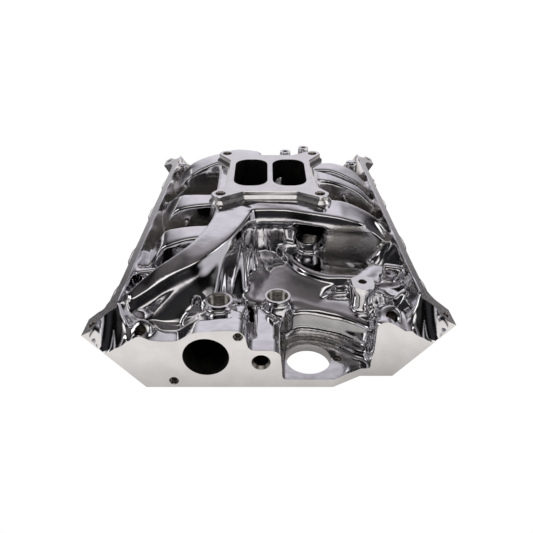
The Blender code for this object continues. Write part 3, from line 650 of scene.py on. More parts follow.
def field_mesh(field, name):
    band = 3 * VOXEL
    grid = openvdb.FloatGrid(band)
    grid.copyFromArray(np.clip(field.values, -band, band).astype(np.float32), tolerance=0.0)
    points, triangles, quads = grid.convertToPolygons(isovalue=0.0, adaptivity=0.0)
    points = (points * VOXEL + np.array(FIELD_LOW, np.float32) - np.array((0, 0, PAD_Z), np.float32)) * MM
    faces = [tuple(map(int, face)) for face in (*triangles, *quads)]
    mesh = bpy.data.meshes.new(name)
    mesh.from_pydata([tuple(map(float, p)) for p in points], [], faces)
    mesh.update()
    return mesh


# ---------------------------------------------------------------- crisp meshes

def to_mesh(name, bm):
    bmesh.ops.translate(bm, vec=(0, 0, -PAD_Z), verts=bm.verts)
    bmesh.ops.scale(bm, vec=(MM, MM, MM), verts=bm.verts)
    bmesh.ops.recalc_face_normals(bm, faces=bm.faces)
    mesh = bpy.data.meshes.new(name)
    bm.to_mesh(mesh)
    bm.free()
    return mesh


def skin(bm, first, second):
    """A band of quads between two loops."""
    for i in range(len(first)):
        j = (i + 1) % len(first)
        bm.faces.new((first[i], first[j], second[j], second[i]))


def loops_of(bm, rings):
    return [[bm.verts.new(point) for point in ring] for ring in rings]


def loft(name, rings, material=None):
    bm = bmesh.new()
    loops = loops_of(bm, rings)
    for lower, upper in zip(loops, loops[1:]):
        skin(bm, lower, upper)
    bm.faces.new(loops[0][::-1])
    bm.faces.new(loops[-1])
    mesh = to_mesh(name, bm)
    if material:
        mesh.materials.append(material)
    return mesh


def circle(centre, axis, radius, count):
    direction = Vector(axis).normalized()
    side = direction.orthogonal().normalized()
    other = direction.cross(side)
    turns = [math.tau * i / count for i in range(count)]
    return [Vector(centre) + (side * math.cos(a) + other * math.sin(a)) * radius for a in turns]


def rings_of(start, axis, profile, count):
    """Circles at (distance along the axis, radius) from a start point."""
    direction = Vector(axis).normalized()
    return [circle(Vector(start) + direction * along, axis, radius, count) for along, radius in profile]


def turned(name, start, axis, profile, material=None, count=48):
    return loft(name, rings_of(start, axis, profile, count), material)


def plan_prism(name, outline, bottom, top, material=None):
    return loft(name, [[(x, y, z) for x, y in outline] for z in (bottom, top)], material)


def end_prism(name, outline, start, end, material=None):
    return loft(name, [[(x, y, z) for x, z in outline] for y in (start, end)], material)


def rounded_box(half_x, half_y, corner, steps=8):
    points = []
    for quarter, (sx, sy) in enumerate(((1, 1), (-1, 1), (-1, -1), (1, -1))):
        for i in range(steps + 1):
            angle = math.radians(90) * (quarter + i / steps)
            x = sx * (half_x - corner) + corner * math.cos(angle)
            y = sy * (half_y - corner) + corner * math.sin(angle)
            points.append((x, y))
    return points


def passage(name, stations, inset, material, count=16):
    """A rounded tube cutter through stations (x, y, z, width, height)."""
    path = curve([s[:3] for s in stations], 3)
    sizes = curve([s[3:5] for s in stations], 3)
    rings = []
    for i, (centre, size) in enumerate(zip(path, sizes)):
        centre = Vector(centre)
        along = (Vector(path[min(i + 1, len(path) - 1)]) - Vector(path[max(i - 1, 0)])).normalized()
        side = along.cross(Vector((0, 0, 1))).normalized()
        up = side.cross(along)
        half_w, half_h = size[0] / 2 - inset, size[1] / 2 - inset
        ring = []
        for j in range(count):
            angle = math.tau * (j + 0.5) / count
            a, b = math.cos(angle), math.sin(angle)
            scale = (abs(a) ** 4 + abs(b) ** 4) ** -0.25
            ring.append(centre + side * (a * scale * half_w) + up * (b * scale * half_h))
        rings.append(ring)
    return loft(name, rings, material)


RUNNERS = {
    "left_1": (
        (-8, -60, 98, 38, 42), (-46, -98, 98, 40, 46), (-62, -134, 96, 36, 46), (-80, -172, 92, 34, 44),
        (-101, -198, 84, 32, 44), (-124, -213, 70, 34, 48), (-138, -219, 55, 38, 50),
        (-152, -218, 42, 38, 50),
    ),
    "left_2": (
        (-30, -30, 78, 34, 44), (-62, -88, 82, 34, 46), (-98, -127, 84, 34, 46), (-122, -131, 76, 36, 48),
        (-139, -129, 58, 38, 50), (-152, -128, 43, 38, 50),
    ),
    "left_3": (
        (-34, -24, 82, 34, 46), (-85, -27, 84, 34, 46), (-112, -28, 82, 36, 48), (-130, -22, 68, 38, 50),
        (-142, -13, 54, 38, 50), (-152, -6, 42, 38, 50),
    ),
    "left_4": (
        (20, 48, 98, 38, 42), (-24, 92, 96, 40, 44), (-56, 110, 96, 40, 44), (-81, 112, 94, 40, 46),
        (-104, 107, 88, 40, 48), (-124, 101, 76, 40, 50), (-140, 102, 56, 40, 52), (-152, 104, 42, 38, 50),
    ),
    "right_1": (
        (-20, -40, 58, 34, 38), (8, -78, 52, 36, 38), (36, -118, 48, 38, 38), (66, -146, 46, 38, 40),
        (96, -153, 46, 38, 40), (124, -162, 45, 38, 42), (142, -178, 42, 40, 48), (152, -188, 40, 38, 50),
    ),
    "right_2": (
        (20, -60, 100, 40, 42), (60, -82, 99, 40, 44), (95, -85, 94, 40, 44), (118, -89, 84, 38, 46),
        (136, -93, 64, 40, 50), (152, -94, 43, 38, 50),
    ),
    "right_3": (
        (28, 28, 98, 36, 40), (69, 45, 92, 36, 44), (90, 48, 88, 36, 44), (113, 45, 80, 36, 46),
        (134, 36, 62, 38, 50), (152, 28, 43, 38, 50),
    ),
    "right_4": (
        (-20, 36, 60, 34, 38), (28, 80, 66, 36, 40), (64, 108, 74, 36, 42), (92, 118, 78, 36, 44),
        (118, 115, 74, 38, 46), (138, 106, 56, 40, 50), (152, 102, 42, 38, 50),
    ),
}


def ear_outline():
    """Plan of the carburettor flange: a plate with a round ear at each stud."""
    points = []
    for sx, sy in ((1, -1), (1, 1), (-1, 1), (-1, -1)):
        arc = [math.radians(a) for a in range(-100, 21, 12)]
        ear = [(STUD_X + 12 * math.cos(a), -STUD_Y + 12 * math.sin(a)) for a in arc]
        corner = [(34, -65.5), (36.5, -66.5), *ear, (61, -46), (59, -42)]
        placed = [(sx * x, -sy * y) for x, y in corner]
        points += placed if sx * sy < 0 else placed[::-1]
    return points


def grow(outline, by):
    """Moves each corner of an anticlockwise outline outwards."""
    made = []
    for i, here in enumerate(outline):
        a = Vector(outline[i - 1])
        b = Vector(outline[(i + 1) % len(outline)])
        along = (b - a).normalized()
        made.append((here[0] + along.y * by, here[1] - along.x * by))
    return made


def carburettor_flange(material):
    outline = ear_outline()
    layers = ((-0.7, 0), (0, 0.7), (0, 5.6), (0.8, 6.4), (3.6, 9.4), (3.6, 13.4), (1.6, 15.2), (-6, 20))
    rings = []
    for by, drop in layers[::-1]:
        rings.append([(x, y, pad_z(y) - drop) for x, y in grow(outline, by)])
    return loft("flange", rings, material)


def cutters(looks):
    """The meshes of the casting's machined and cored hollows."""
    # core: its near-black base colour is painted shade inside the bores and passages
    # thread: its darkened base colour is painted shade inside the tapped holes
    face, thread, core = looks["machined"], looks["thread"], looks["core"]
    front = [(-300, -400), (300, -400), (300, RIGHT_FRONT), (100, RIGHT_FRONT), (68, LEFT_FRONT),
             (-300, LEFT_FRONT)]
    rear = [(-300, LEFT_REAR), (130, LEFT_REAR), (130, RIGHT_REAR), (300, RIGHT_REAR), (300, 400),
            (-300, 400)]
    made = [
        plan_prism("front_face", front, -40, 200, face),
        plan_prism("rear_face", rear, -40, 200, face),
        plan_prism("sealing_edge", [(-300, -400), (300, -400), (300, 400), (-300, 400)], -60, 0, face),
    ]
    for side, sign in SIDES.items():
        reach = [(96, head_z(96)), (235, head_z(235)), (290, -60), (FOOT_X, -80)]
        made.append(end_prism(f"head_face_{side}", [(sign * x, z) for x, z in reach], -320, 300, face))
        strip = [(162.5, rail_z(162.5)), (230, rail_z(230)), (230, 150), (162.5, 150)]
        made.append(end_prism(f"cover_rail_{side}", [(sign * x, z) for x, z in strip], -320, 300, face))
        normal = head_normal(side)
        for name, stations in RUNNERS.items():
            if name.startswith(side):
                last = Vector(stations[-1][:3])
                port = last + normal * 34
                made.append(passage(f"passage_{name}", (*stations, (*port, 38, 50)), PASSAGE_WALL, core))
        along = Vector((sign * (TIP_X - FOOT_X), 0, TIP_Z)).normalized()
        foot = Vector((sign * FOOT_X, 0, 0)) - normal * PUSHROD_INSET
        for port_y in PORT_Y[side]:
            for spread in (-PUSHROD_SPREAD, PUSHROD_SPREAD):
                start = foot + Vector((0, port_y + spread, 0)) - along * 25
                made.append(turned("pushrod", start, along, ((0, PUSHROD_R), (140, PUSHROD_R)), core, 20))
        for y in HEAD_BOLT_Y[side]:
            start = Vector((sign * HEAD_BOLT_X, y, HEAD_BOLT_Z)) - normal * 50
            made.append(turned("head_bolt", start, normal, ((0, 5.2), (90, 5.2)), face, 24))
            made.append(turned("head_bolt_seat", start - normal * 30, normal, ((0, 9.0), (38.5, 9.0)), face,
                               28))
        tap = ((0, 6.4), (3.0, 4.6), (3.8, 3.8), (15, 3.8))
        for top in rail_bolts(side):
            up = rail_normal(side)
            made.append(turned("rail_tap", top + up * 3, -up, tap, thread, 28))
    cross_left = Vector((-150, -67, 34)) + head_normal("left") * 30
    cross_right = Vector((150, -33, 34)) + head_normal("right") * 30
    cross = ((*cross_left, 40, 28), (-150, -67, 34, 40, 26), (-100, -58, 28, 40, 28), (0, -44, 27, 42, 28),
             (100, -36, 28, 40, 28), (150, -33, 34, 40, 26), (*cross_right, 40, 28))
    made.append(passage("crossover", cross, 5.5, core))
    made += pad_cutters(face, thread, core)
    made += front_cutters(face, thread, core)
    return made


def pad_cutters(face, thread, core):
    well = rounded_box(23.5, 47, 19)
    made = [
        plan_prism("throttle_left", [(x - 27, y) for x, y in well], 46, 170, core),
        plan_prism("throttle_right", [(x + 27, y) for x, y in well], 70, 170, core),
    ]
    for sx in (-1, 1):
        for sy in (-1, 1):
            start = (sx * STUD_X, sy * STUD_Y, pad_z(sy * STUD_Y) + 2)
            made.append(turned("stud_hole", start, (0, 0, -1),
                               ((0, 8.4), (3.2, 5.9), (3.6, 5.5), (26, 5.5)), thread, 32))
    for x, y in REAR_POSTS:
        made.append(plan_prism("post_top", [(x - 12, y - 12), (x + 12, y - 12), (x + 12, y + 12),
                                            (x - 12, y + 12)],
                               136, 160, face))
        made.append(turned("post_tap", (x, y, 138), (0, 0, -1), ((0, 5.6), (3.0, 3.6), (28, 3.6)), thread,
                           28))
    return made


def front_cutters(face, thread, core):
    made = [
        turned("outlet", (-69, -290, 42.5), (0, 1, 0), ((0, 26), (3.6, 25.0), (4.6, 24.3), (60, 24.3)),
               core, 96),
        turned("bypass", (-10.8, -290, 35.3), (0, 1, 0), ((0, 11.4), (4.0, 10.2), (7.5, 7.6), (78, 7.4)),
               thread, 48),
        turned("distributor", (42.7, -251, -5), (0, 0, 1), ((0, 25.2), (14.6, 25.2), (22, 29)), face, 96),
        turned("clamp", (*CLAMP_BOLT, 13), DOWN, ((0, 6.4), (2.6, 4.6), (20, 4.6)), thread, 32),
        turned("foot_hole", (118, -262, 14), (0, 0.0, -1), ((0, 3.2), (12, 3.2)), core, 20),
    ]
    for x, z in OUTLET_BOLTS.values():
        made.append(turned("outlet_tap", (x, -289, z), (0, 1, 0),
                           ((0, 8.0), (3.0, 5.4), (4.0, 4.6), (24, 4.6)),
                           thread, 32))
    for x, y, top, wide in RING_BOSSES:
        made.append(turned("ring_top", (x, y, top), (0, 0, 1), ((0, 17.5), (9, 17.5)), face, 48))
        bore = [(0, wide + 3.2), (3.4, wide)]
        for i in range(12):
            bore += [(4.2 + 2.0 * i, wide - 0.9), (5.2 + 2.0 * i, wide)]
        bore.append((30, wide - 0.9))
        made.append(turned("ring_tap", (x, y, top + 2), (0, 0, -1), bore, thread, 56))
    made.append(turned("bracket_top", (106, -203, 82), (0, 0, 1), ((0, 20), (12, 20)), face, 48))
    made.append(turned("bracket_tap", (*BRACKET_POST, 84), DOWN, ((0, 6.6), (2.6, 4.6), (24, 4.6)), thread,
                       32))
    made.append(turned("port_left", (-137.6, -278.5, 74), (0.15, 0.62, -0.77),
                       ((0, 8.6), (4.0, 6.8), (5, 6.2), (26, 6.0)),
                       thread, 40))
    made.append(turned("port_right", (130.6, -257, 76), (-0.05, 0.55, -0.83),
                       ((0, 8.6), (4.0, 6.8), (5, 6.2), (26, 6.0)),
                       thread, 40))
    left = Vector((-134, -266, 26))
    normal = head_normal("left")
    made.append(turned("water_left", left + normal * 40, -normal, ((0, 12), (56, 12)), core, 32))
    made.append(passage("water_run", ((-66, -238, 42, 26, 26), (-30, -214, 34, 26, 22),
                                      (10, -192, 30, 26, 22),
                                      (60, -182, 30, 26, 22), (104, -200, 32, 26, 26),
                                      (134, -222, 38, 26, 30),
                                      (170, -232, 16, 26, 34)), 0, core))
    return made


def boolean(target, operand, operation, solver):
    modifier = target.modifiers.new("step", "BOOLEAN")
    modifier.operation = operation
    modifier.solver = solver
    modifier.object = operand
    modifier.material_mode = "TRANSFER"
    graph = bpy.context.evaluated_depsgraph_get()
    made = bpy.data.meshes.new_from_object(target.evaluated_get(graph))
    target.modifiers.clear()
    return made


def scratch(mesh):
    made = bpy.data.objects.new(mesh.name, mesh)
    bpy.context.scene.collection.objects.link(made)
    return made


def apply_boolean(target, mesh, operation):
    """Cuts or joins one crisp mesh."""
    operand = scratch(mesh)
    target.data = boolean(target, operand, operation, "MANIFOLD")
    bpy.data.objects.remove(operand)


def joined(meshes):
    """One closed mesh of many that may overlap."""
    target = scratch(meshes[0])
    for mesh in meshes[1:]:
        operand = scratch(mesh)
        made = boolean(target, operand, "UNION", "MANIFOLD")
        if len(made.polygons) <= len(target.data.polygons):
            made = boolean(target, operand, "UNION", "EXACT")
        target.data = made
        bpy.data.objects.remove(operand)
    mesh = target.data
    bpy.data.objects.remove(target)
    return mesh


# ---------------------------------------------------------------- looks

RAW_ROUGHER = 0.22  # added to the roughness of unpolished metal
WHITE = (1.0, 1.0, 1.0, 1.0)


def node_tools(tree):
    """add makes a node and sets its inputs or properties by name; link joins two sockets."""
    def add(kind, **values):
        node = tree.nodes.new("ShaderNode" + kind)
        for key, value in values.items():
            if key in node.inputs:
                node.inputs[key].default_value = value
            else:
                setattr(node, key, value)
        return node

    return add, tree.links.new


def node_material(name):
    """A material, its add and link, and its shader."""
    made = bpy.data.materials.new(name)
    made.use_nodes = True
    return made, *node_tools(made.node_tree), made.node_tree.nodes["Principled BSDF"]


def remap(add, link, value, span, to=(0.0, 1.0)):
    """A value carried linearly from one span to another, held at its ends."""
    node = add("MapRange", **{"From Min": span[0], "From Max": span[1], "To Min": to[0], "To Max": to[1]})
    link(value, node.inputs["Value"])
    return node.outputs["Result"]


def noise(add, link, place, scale, detail):
    node = add("TexNoise", Scale=scale, Detail=detail)
    link(place.outputs["Object"], node.inputs["Vector"])
    return node.outputs["Fac"]


def bump(add, link, height, distance, under=None):
    """A bump's normal, over an earlier bump's normal when there is one."""
    node = add("Bump", Strength=1.0, Distance=distance)
    link(height, node.inputs["Height"])
    if under:
        link(under, node.inputs["Normal"])
    return node.outputs["Normal"]


def feed(link, sockets, values):
    """Each value is a number, a colour or another node's output."""
    for socket, value in zip(sockets, values):
        if isinstance(value, bpy.types.NodeSocket):
            link(value, socket)
        else:
            socket.default_value = value


def mix(add, link, factor, first, second, blend="MIX"):
    node = add("Mix", data_type="RGBA", blend_type=blend)
    feed(link, (node.inputs["Factor"], node.inputs[6], node.inputs[7]), (factor, first, second))
    return node.outputs[2]


def math_node(add, link, operation, *values):
    node = add("Math", operation=operation)
    feed(link, node.inputs, values)
    return node.outputs["Value"]


def ramp(add, link, value, stops):
    node = add("ValToRGB")
    elements = node.color_ramp.elements
    while len(elements) < len(stops):
        elements.new(0.5)
    for element, (place, colour) in zip(elements, stops):
        element.position = place
        element.color = (*colour, 1.0)
    link(value, node.inputs["Fac"])
    return node.outputs["Color"]


def metal(name, light, dark, rough, waviness, grain, raw=None):
    """Aluminium or steel: cloudy colour, uneven roughness, soft waviness and a fine grain."""
    made, add, link, shader = node_material(name)
    place = add("TexCoord")
    base = ramp(add, link, noise(add, link, place, 55.0, 4.0), ((0.35, dark), (0.65, light)))
    dullness = remap(add, link, noise(add, link, place, 240.0, 5.0), (0.0, 1.0), rough)
    soft = bump(add, link, noise(add, link, place, 70.0, 1.0), waviness)
    normal = bump(add, link, noise(add, link, place, 1600.0, 3.0), grain, soft)
    shader.inputs["Metallic"].default_value = 1.0
    if raw:
        mask = add("Attribute", attribute_name="raw").outputs["Fac"]
        base = mix(add, link, mask, base, (*raw, 1.0))
        dullness = math_node(add, link, "MULTIPLY_ADD", mask, RAW_ROUGHER, dullness)
        pebbles = math_node(add, link, "MULTIPLY", noise(add, link, place, 420.0, 4.0), mask)
        normal = bump(add, link, pebbles, 0.0007, normal)
    link(base, shader.inputs["Base Color"])
    link(dullness, shader.inputs["Roughness"])
    link(normal, shader.inputs["Normal"])
    return made


def make_looks():
    return {
        "cast": metal("polished_cast_aluminium", (0.88, 0.875, 0.895), (0.80, 0.79, 0.81), (0.05, 0.12),
                      0.00035,
                      0.000012, (0.55, 0.53, 0.51)),
        "machined": metal("machined_aluminium", (0.87, 0.86, 0.86), (0.81, 0.795, 0.79), (0.16, 0.26),
                          0.00004,
                          0.00002),
        # tapped holes: the thread form is real, but the darkened brown-grey base colour is painted shade
        # standing for the dark inside of the holes
        "thread": metal("threaded_bore_painted_shade", (0.50, 0.47, 0.43), (0.24, 0.22, 0.20), (0.22, 0.36), 0.0001,
                        0.00008),
        # cored bores and passages: the near-black base colour is painted shade for their dark insides, not
        # the colour of the aluminium there
        "core": metal("cored_passage_painted_shade", (0.085, 0.08, 0.075), (0.03, 0.027, 0.025), (0.55, 0.8), 0.0004,
                      0.0002),
        "insert": metal("insert_steel", (0.50, 0.47, 0.43), (0.30, 0.27, 0.24), (0.25, 0.4), 0.0001, 0.00005),
        "core_plug": metal("plated_plug", (0.66, 0.62, 0.52), (0.48, 0.45, 0.38), (0.25, 0.4), 0.0002,
                           0.00004),
        "shield": metal("plated_sheet", (0.62, 0.60, 0.54), (0.46, 0.44, 0.40), (0.28, 0.42), 0.0003,
                        0.00003),
        "screw": metal("screw_steel", (0.40, 0.39, 0.38), (0.24, 0.23, 0.22), (0.25, 0.4), 0.0001, 0.00004),
    }


# ---------------------------------------------------------------- finishing the casting

CREASE = math.radians(32)  # sharper edges than this stay sharp
SAME_WAY = 0.75  # least cosine between a face and the field's normal
ON_SURFACE = 0.8  # most distance from the field's surface, in millimetres
BIG_FACE = 2e-5  # square metres


def sample(field, points):
    """Trilinear value of the field at points in millimetres."""
    place = (points - np.array(FIELD_LOW)) / VOXEL
    top = np.array(field.values.shape) - 2
    cell = np.clip(np.floor(place).astype(int), 0, top)
    part = np.clip(place - cell, 0, 1)
    total = np.zeros(len(points))
    for dx in (0, 1):
        for dy in (0, 1):
            for dz in (0, 1):
                weight = (np.abs(1 - dx - part[:, 0]) * np.abs(1 - dy - part[:,
                                                                             1]) * np.abs(1 - dz - part[:,
                                                                                                        2]))
                total += weight * field.values[cell[:, 0] + dx, cell[:, 1] + dy, cell[:, 2] + dz]
    return total


def field_normals(field, points):
    step = VOXEL * 0.75
    normal = np.zeros((len(points), 3))
    for axis in range(3):
        shift = np.zeros(3)
        shift[axis] = step
        normal[:, axis] = sample(field, points + shift) - sample(field, points - shift)
    length = np.linalg.norm(normal, axis=1, keepdims=True)
    return normal / np.maximum(length, 1e-9)


def drop_crumbs(mesh):
    """Keeps only the largest connected body."""
    bm = bmesh.new()
    bm.from_mesh(mesh)
    seen = set()
    bodies = []
    for vert in bm.verts:
        if vert in seen:
            continue
        body, queue = [], [vert]
        seen.add(vert)
        while queue:
            here = queue.pop()
            body.append(here)
            for edge in here.link_edges:
                other = edge.other_vert(here)
                if other not in seen:
                    seen.add(other)
                    queue.append(other)
        bodies.append(body)
    bodies.sort(key=len)
    for body in bodies[:-1]:
        bmesh.ops.delete(bm, geom=body, context="VERTS")
    bm.to_mesh(mesh)
    bm.free()


def shade_casting(mesh, field):
    """Sharp machined edges, and smooth normals taken from the distance field elsewhere."""
    for polygon_face in mesh.polygons:
        polygon_face.use_smooth = True
    mesh.set_sharp_from_angle(angle=CREASE)
    count = len(mesh.loops)
    corner_vertex = np.empty(count, int)
    mesh.loops.foreach_get("vertex_index", corner_vertex)
    faces = len(mesh.polygons)
    totals, kinds = np.empty(faces, int), np.empty(faces, int)
    flat = np.empty(faces * 3)
    mesh.polygons.foreach_get("loop_total", totals)
    mesh.polygons.foreach_get("material_index", kinds)
    mesh.polygons.foreach_get("normal", flat)
    flat = flat.reshape(-1, 3)
    places = np.empty(len(mesh.vertices) * 3)
    mesh.vertices.foreach_get("co", places)
    places = places.reshape(-1, 3) / MM + np.array((0, 0, PAD_Z))
    smooth = field_normals(field, places)
    value = np.abs(sample(field, places))
    face_of = np.repeat(np.arange(faces), totals)
    wanted = smooth[corner_vertex]
    own = flat[face_of]
    slots = [m.name for m in mesh.materials]
    cast_slot, machined_slot = slots.index("polished_cast_aluminium"), slots.index("machined_aluminium")
    follows = kinds[face_of] == cast_slot
    follows &= ((wanted * own).sum(1) > SAME_WAY) & (value[corner_vertex] < ON_SURFACE)
    normals = np.where(follows[:, None], wanted, 0.0)
    plane = kinds[face_of] == machined_slot
    big = np.array([p.area for p in mesh.polygons])[face_of] > BIG_FACE
    normals[plane & big] = own[plane & big]
    mesh.normals_split_custom_set([tuple(n) for n in normals])
    raw = raw_share(places)
    attribute = mesh.attributes.new("raw", "FLOAT", "POINT")
    attribute.data.foreach_set("value", raw.astype(np.float32))


def raw_share(places):
    """Where polishing wheels don't reach: deep pockets between the runners, and the underside."""
    x, y, z = places[:, 0], places[:, 1], places[:, 2]
    pocket = np.clip((98 - z) / 14, 0, 1) * np.clip((np.abs(x) - 66) / 8, 0, 1) * np.clip((y + 120) / 12, 0,
                                                                                          1)
    pocket *= np.clip((160 - np.abs(x)) / 5, 0, 1)
    under = np.clip((24 - z) / 6, 0, 1) * np.clip((y + 240) / 10, 0, 1)
    panel = np.clip(1 - ((x - 98) / 34) ** 2 - ((y + 118) / 22) ** 2 - ((z - 92) / 24) ** 2, 0, 1) * 2
    return np.clip(np.maximum(np.maximum(pocket, under), panel), 0, 1)


def make_casting(looks):
    field = cast_field()
    mesh = field_mesh(field, "casting_fine")
    mesh.materials.append(looks["cast"])
    casting = scratch(mesh)
    apply_boolean(casting, carburettor_flange(looks["machined"]), "UNION")
    apply_boolean(casting, joined(cutters(looks)), "DIFFERENCE")
    drop_crumbs(casting.data)
    shade_casting(casting.data, field)
    casting.name = "manifold_casting_fine"
    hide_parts("manifold_casting")
    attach(casting, "root")
    return casting


# ---------------------------------------------------------------- fitted hardware

def fitted(name, mesh, node, look, angle=40):
    if not mesh.materials:
        mesh.materials.append(look)
    mesh.shade_smooth()
    mesh.set_sharp_from_angle(angle=math.radians(angle))
    piece = scratch(mesh)
    piece.name = name
    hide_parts(node)
    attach(piece, "root")
    return piece


def threaded_sleeve(name, start, axis, outer, inner, length):
    """An insert with a chamfered lip and a V thread in its bore."""
    pitch = 1.25
    profile = [(0.5, inner + 0.1), (0, inner + 0.6), (0, outer - 0.3), (0.3, outer), (length - 0.3, outer),
               (length, outer - 0.3), (length, inner + 0.6), (length - 0.5, inner + 0.1)]
    turns = int((length - 1.6) / pitch)
    for i in range(turns):
        along = length - 0.8 - i * pitch
        profile += [(along, inner + 0.45), (along - pitch / 2, inner)]
    bm = bmesh.new()
    loops = loops_of(bm, rings_of(start, axis, profile, 40))
    for first, second in zip(loops, [*loops[1:], loops[0]]):
        skin(bm, first, second)
    return to_mesh(name, bm)


def add_inserts(looks):
    """Each insert: its node, the start of its axis, the axis, outer radius, wall and length."""
    wall = 1.3
    inserts = []
    for ends, sy in (("front", -1), ("rear", 1)):
        for side, sx in SIDES.items():
            start = (sx * STUD_X, sy * STUD_Y, pad_z(sy * STUD_Y) - 18)
            inserts.append((f"carb_stud_insert_{ends}_{side}", start, UP, 5.2, wall, 13.6))
    for name, (x, z) in OUTLET_BOLTS.items():
        inserts.append((f"outlet_insert_{name}", (x, LEFT_FRONT + 2.4, z), (0, 1, 0), 4.3, wall, 14))
    inserts.append(("distributor_clamp_insert", (*CLAMP_BOLT, 0.6), UP, 4.3, wall, 8.6))
    inserts.append(("bracket_post_insert", (*BRACKET_POST, 63), UP, 4.3, wall, 14))
    for side in SIDES:
        for end, top in zip(("front", "rear"), rail_bolts(side)):
            normal = rail_normal(side)
            inserts.append((f"rail_insert_{end}_{side}", top - normal * 11, normal, 3.5, 1.0, 9))
    for node, start, axis, outer, wall, length in inserts:
        sleeve = threaded_sleeve(node, start, axis, outer, outer - wall, length)
        fitted(node + "_fine", sleeve, node, looks["insert"])


def add_core_plugs(looks):
    for side, (x, y) in {"left": (-46.0, -50.0), "right": (46.0, -40.0)}.items():
        outer = 11.7
        profile = [(0, outer - 0.9), (0, outer - 0.2), (0.3, outer), (5.4, outer), (6.3, outer - 0.4),
                   (6.8, outer - 1.4), (6.8, 3.4), (7.0, 2.6), (7.0, 0.4)]
        inner = [(5.9, 0.4), (5.9, 2.6), (5.7, 3.4), (5.7, outer - 2.0), (5.2, outer - 1.3),
                 (4.4, outer - 1.0)]
        node = f"crossover_core_plug_{side}"
        bm = bmesh.new()
        loops = loops_of(bm, rings_of((x, y, 9.0), UP, [*profile, *inner], 48))
        gap = len(profile) - 1  # the end discs close the cup here
        for index, first in enumerate(loops):
            if index != gap:
                skin(bm, first, loops[(index + 1) % len(loops)])
        bm.faces.new(loops[gap])
        bm.faces.new(loops[gap + 1])
        fitted(node + "_fine", to_mesh(node, bm), node, looks["core_plug"])


def screw_places():
    places = {}
    for column, x in zip(("left", "middle", "right"), SCREW_X):
        places[f"front_{column}"] = (x, SHIELD_Y - SCREW_OFF_Y)
        places[f"rear_{column}"] = (x, SHIELD_Y + SCREW_OFF_Y)
    return places


def add_shield(looks):
    """A pressed tray: rounded rim, two long stiffening beads and a hole at each screw."""
    rings = []
    for inset, rise in ((1.4, 0.0), (0.4, 0.4), (0.0, 1.4), (0.0, 4.7), (0.3, 5.0), (0.9, 5.0), (1.2, 4.7),
                        (1.2, 2.2), (1.6, 1.5), (2.6, 1.2)):
        shape = rounded_box(100.0 - inset, 42.0 - inset, 14.0 - inset, 8)
        rings.append([(x, y + SHIELD_Y, SHIELD_Z + rise) for x, y in shape])
    tray = loft("shield", rings)
    target = scratch(tray)
    for x, y in screw_places().values():
        hole = turned("hole", (x, y, 4), UP, ((0, 2.1), (10, 2.1)), None, 24)
        apply_boolean(target, hole, "DIFFERENCE")
    for y in (-54.0, -26.0):
        lower = capsule_mesh("bead", (-72, y, SHIELD_Z - 1.6), (72, y, SHIELD_Z - 1.6), 3.0)
        upper = capsule_mesh("bead", (-72, y, SHIELD_Z - 0.4), (72, y, SHIELD_Z - 0.4), 3.0)
        apply_boolean(target, upper, "UNION")
        apply_boolean(target, lower, "DIFFERENCE")
    mesh = target.data
    bpy.data.objects.remove(target)
    fitted("oil_splash_shield_fine", mesh, "oil_splash_shield", looks["shield"])


def capsule_mesh(name, start, end, radius, count=24):
    axis = (Vector(end) - Vector(start)).normalized()
    angles = [math.radians(90 * i / 6) for i in range(1, 7)]
    rings = []
    for centre, way, order in ((Vector(start), -1, angles), (Vector(end), 1, angles[::-1])):
        for angle in order:
            middle = centre + way * (axis * radius * math.cos(angle))
            rings.append(circle(middle, axis, radius * math.sin(angle), count))
    return loft(name, rings)


def add_screws(looks):
    for name, (x, y) in screw_places().items():
        shank = 1.8
        profile = [(-1.9, 0.4), (-1.9, 1.6), (-1.6, 2.8), (-1.0, 3.7), (-0.4, 4.15), (-0.1, 4.2), (0, 4.0),
                   (0.02, shank)]
        profile += [(0.6 + 0.45 * i, shank - (0.22 if i % 2 else 0.0)) for i in range(17)]
        profile += [(8.6, shank - 0.3), (9.0, 0.5)]
        node = f"shield_drive_screw_{name}"
        screw = turned(node, (x, y, 6.7), UP, profile, None, 32)
        fitted(node + "_fine", screw, node, looks["screw"])


# ---------------------------------------------------------------- studio

CAMERA_PITCH = 31.1  # degrees below the horizon
FLOOR_Z = -0.1402


def make_floor():
    """White to the camera and clear from below; to the metal, dark near the object and pale further out."""
    made, add, link, shader = node_material("studio_floor")
    output = made.node_tree.nodes["Material Output"]
    made.node_tree.nodes.remove(shader)
    place = add("TexCoord")
    tone = ramp(add, link, noise(add, link, place, 2.0, 1.0),
                ((0.3, (0.80, 0.775, 0.755)), (0.7, (0.86, 0.835, 0.815))))
    split = add("SeparateXYZ")
    link(place.outputs["Object"], split.inputs["Vector"])
    lit = None
    for axis, near, far in (("Y", -0.20, -0.34), ("Y", 0.34, 0.52), ("X", -0.40, -0.60), ("X", 0.40, 0.60)):
        share = remap(add, link, split.outputs[axis], (near, far), (0.10, 1.0))
        lit = math_node(add, link, "MAXIMUM", lit, share) if lit else share
    sheet = mix(add, link, 1.0, tone, lit, "MULTIPLY")
    seen = mix(add, link, add("LightPath").outputs["Is Camera Ray"], sheet, WHITE)
    glow = add("Emission")
    link(seen, glow.inputs["Color"])
    surface = add("MixShader")
    link(add("NewGeometry").outputs["Backfacing"], surface.inputs["Fac"])
    link(glow.outputs["Emission"], surface.inputs[1])
    link(add("BsdfTransparent").outputs["BSDF"], surface.inputs[2])
    link(surface.outputs["Shader"], output.inputs["Surface"])
    bm = bmesh.new()
    bmesh.ops.create_grid(bm, x_segments=4, y_segments=4, size=6.0)
    mesh = bpy.data.meshes.new("studio_floor")
    bm.to_mesh(mesh)
    bm.free()
    mesh.materials.append(made)
    floor = scratch(mesh)
    floor.location = (0, 0, FLOOR_Z)


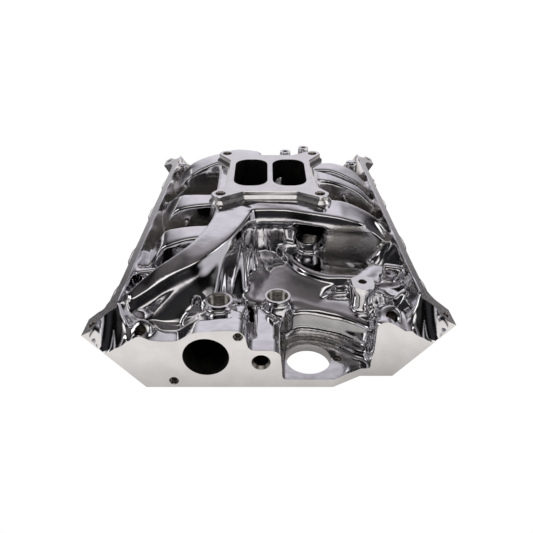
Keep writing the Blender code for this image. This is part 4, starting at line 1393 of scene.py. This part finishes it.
def make_world():
    """White to the camera; to the metal, a pale back wall, a dark ceiling with soft boxes, and dark sides."""
    world = bpy.data.worlds.new("studio")
    bpy.context.scene.world = world
    world.use_nodes = True
    add, link = node_tools(world.node_tree)
    split = add("SeparateXYZ")
    link(add("TexCoord").outputs["Generated"], split.inputs["Vector"])
    x, y, z = (split.outputs[axis] for axis in "XYZ")
    turn = math_node(add, link, "ARCTAN2", z, y)
    band = ramp(add, link, math_node(add, link, "DIVIDE", turn, math.pi), (
        (0.00, (0.74, 0.72, 0.77)), (0.20, (0.70, 0.68, 0.74)), (0.27, (0.34, 0.32, 0.34)),
        (0.36, (0.13, 0.12, 0.125)), (0.57, (0.07, 0.065, 0.065)), (0.60, (1.1, 1.07, 1.05)),
        (0.67, (1.1, 1.07, 1.05)), (0.70, (0.03, 0.03, 0.03)), (0.90, (0.02, 0.02, 0.022)),
        (0.955, (0.08, 0.075, 0.075)), (1.00, (0.42, 0.40, 0.40)),
    ))
    sideways = math_node(add, link, "ABSOLUTE", x)
    fade = remap(add, link, sideways, (0.24, 0.58), (1.0, 0.10))
    dim = mix(add, link, 1.0, band, fade, "MULTIPLY")
    side = remap(add, link, sideways, (0.80, 0.93))
    walls = mix(add, link, side, dim, (0.52, 0.51, 0.54, 1.0))
    seen = mix(add, link, add("LightPath").outputs["Is Camera Ray"], walls, WHITE)
    link(seen, world.node_tree.nodes["Background"].inputs["Color"])


def make_camera():
    data = bpy.data.cameras.new("view")
    data.sensor_width = 36
    data.lens = 34.784
    data.clip_start = 0.01
    camera = bpy.data.objects.new("view", data)
    bpy.context.scene.collection.objects.link(camera)
    camera.location = (-0.005, -0.701, 0.2646)
    camera.rotation_euler = (math.radians(90 - CAMERA_PITCH), 0, 0)
    bpy.context.scene.camera = camera


def make_lights():
    for name, place, aim, size, power in (
        ("left_card", (-1.2, -0.3, 0.8), (0, 0, -0.05), 0.5, 1.2),
        ("right_card", (1.2, -0.1, 0.9), (0, 0, -0.05), 0.5, 1.0),
    ):
        data = bpy.data.lights.new(name, "AREA")
        data.size = size
        data.energy = power
        light = bpy.data.objects.new(name, data)
        light.location = place
        light.rotation_euler = (Vector(aim) - Vector(place)).to_track_quat("-Z", "Y").to_euler()
        bpy.context.scene.collection.objects.link(light)


def main():
    for obj in list(bpy.data.objects):
        bpy.data.objects.remove(obj, do_unlink=True)
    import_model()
    looks = make_looks()
    make_casting(looks)
    add_inserts(looks)
    add_core_plugs(looks)
    add_shield(looks)
    add_screws(looks)
    make_floor()
    make_world()
    make_camera()
    make_lights()
    bpy.context.scene.view_settings.view_transform = "Standard"


main()
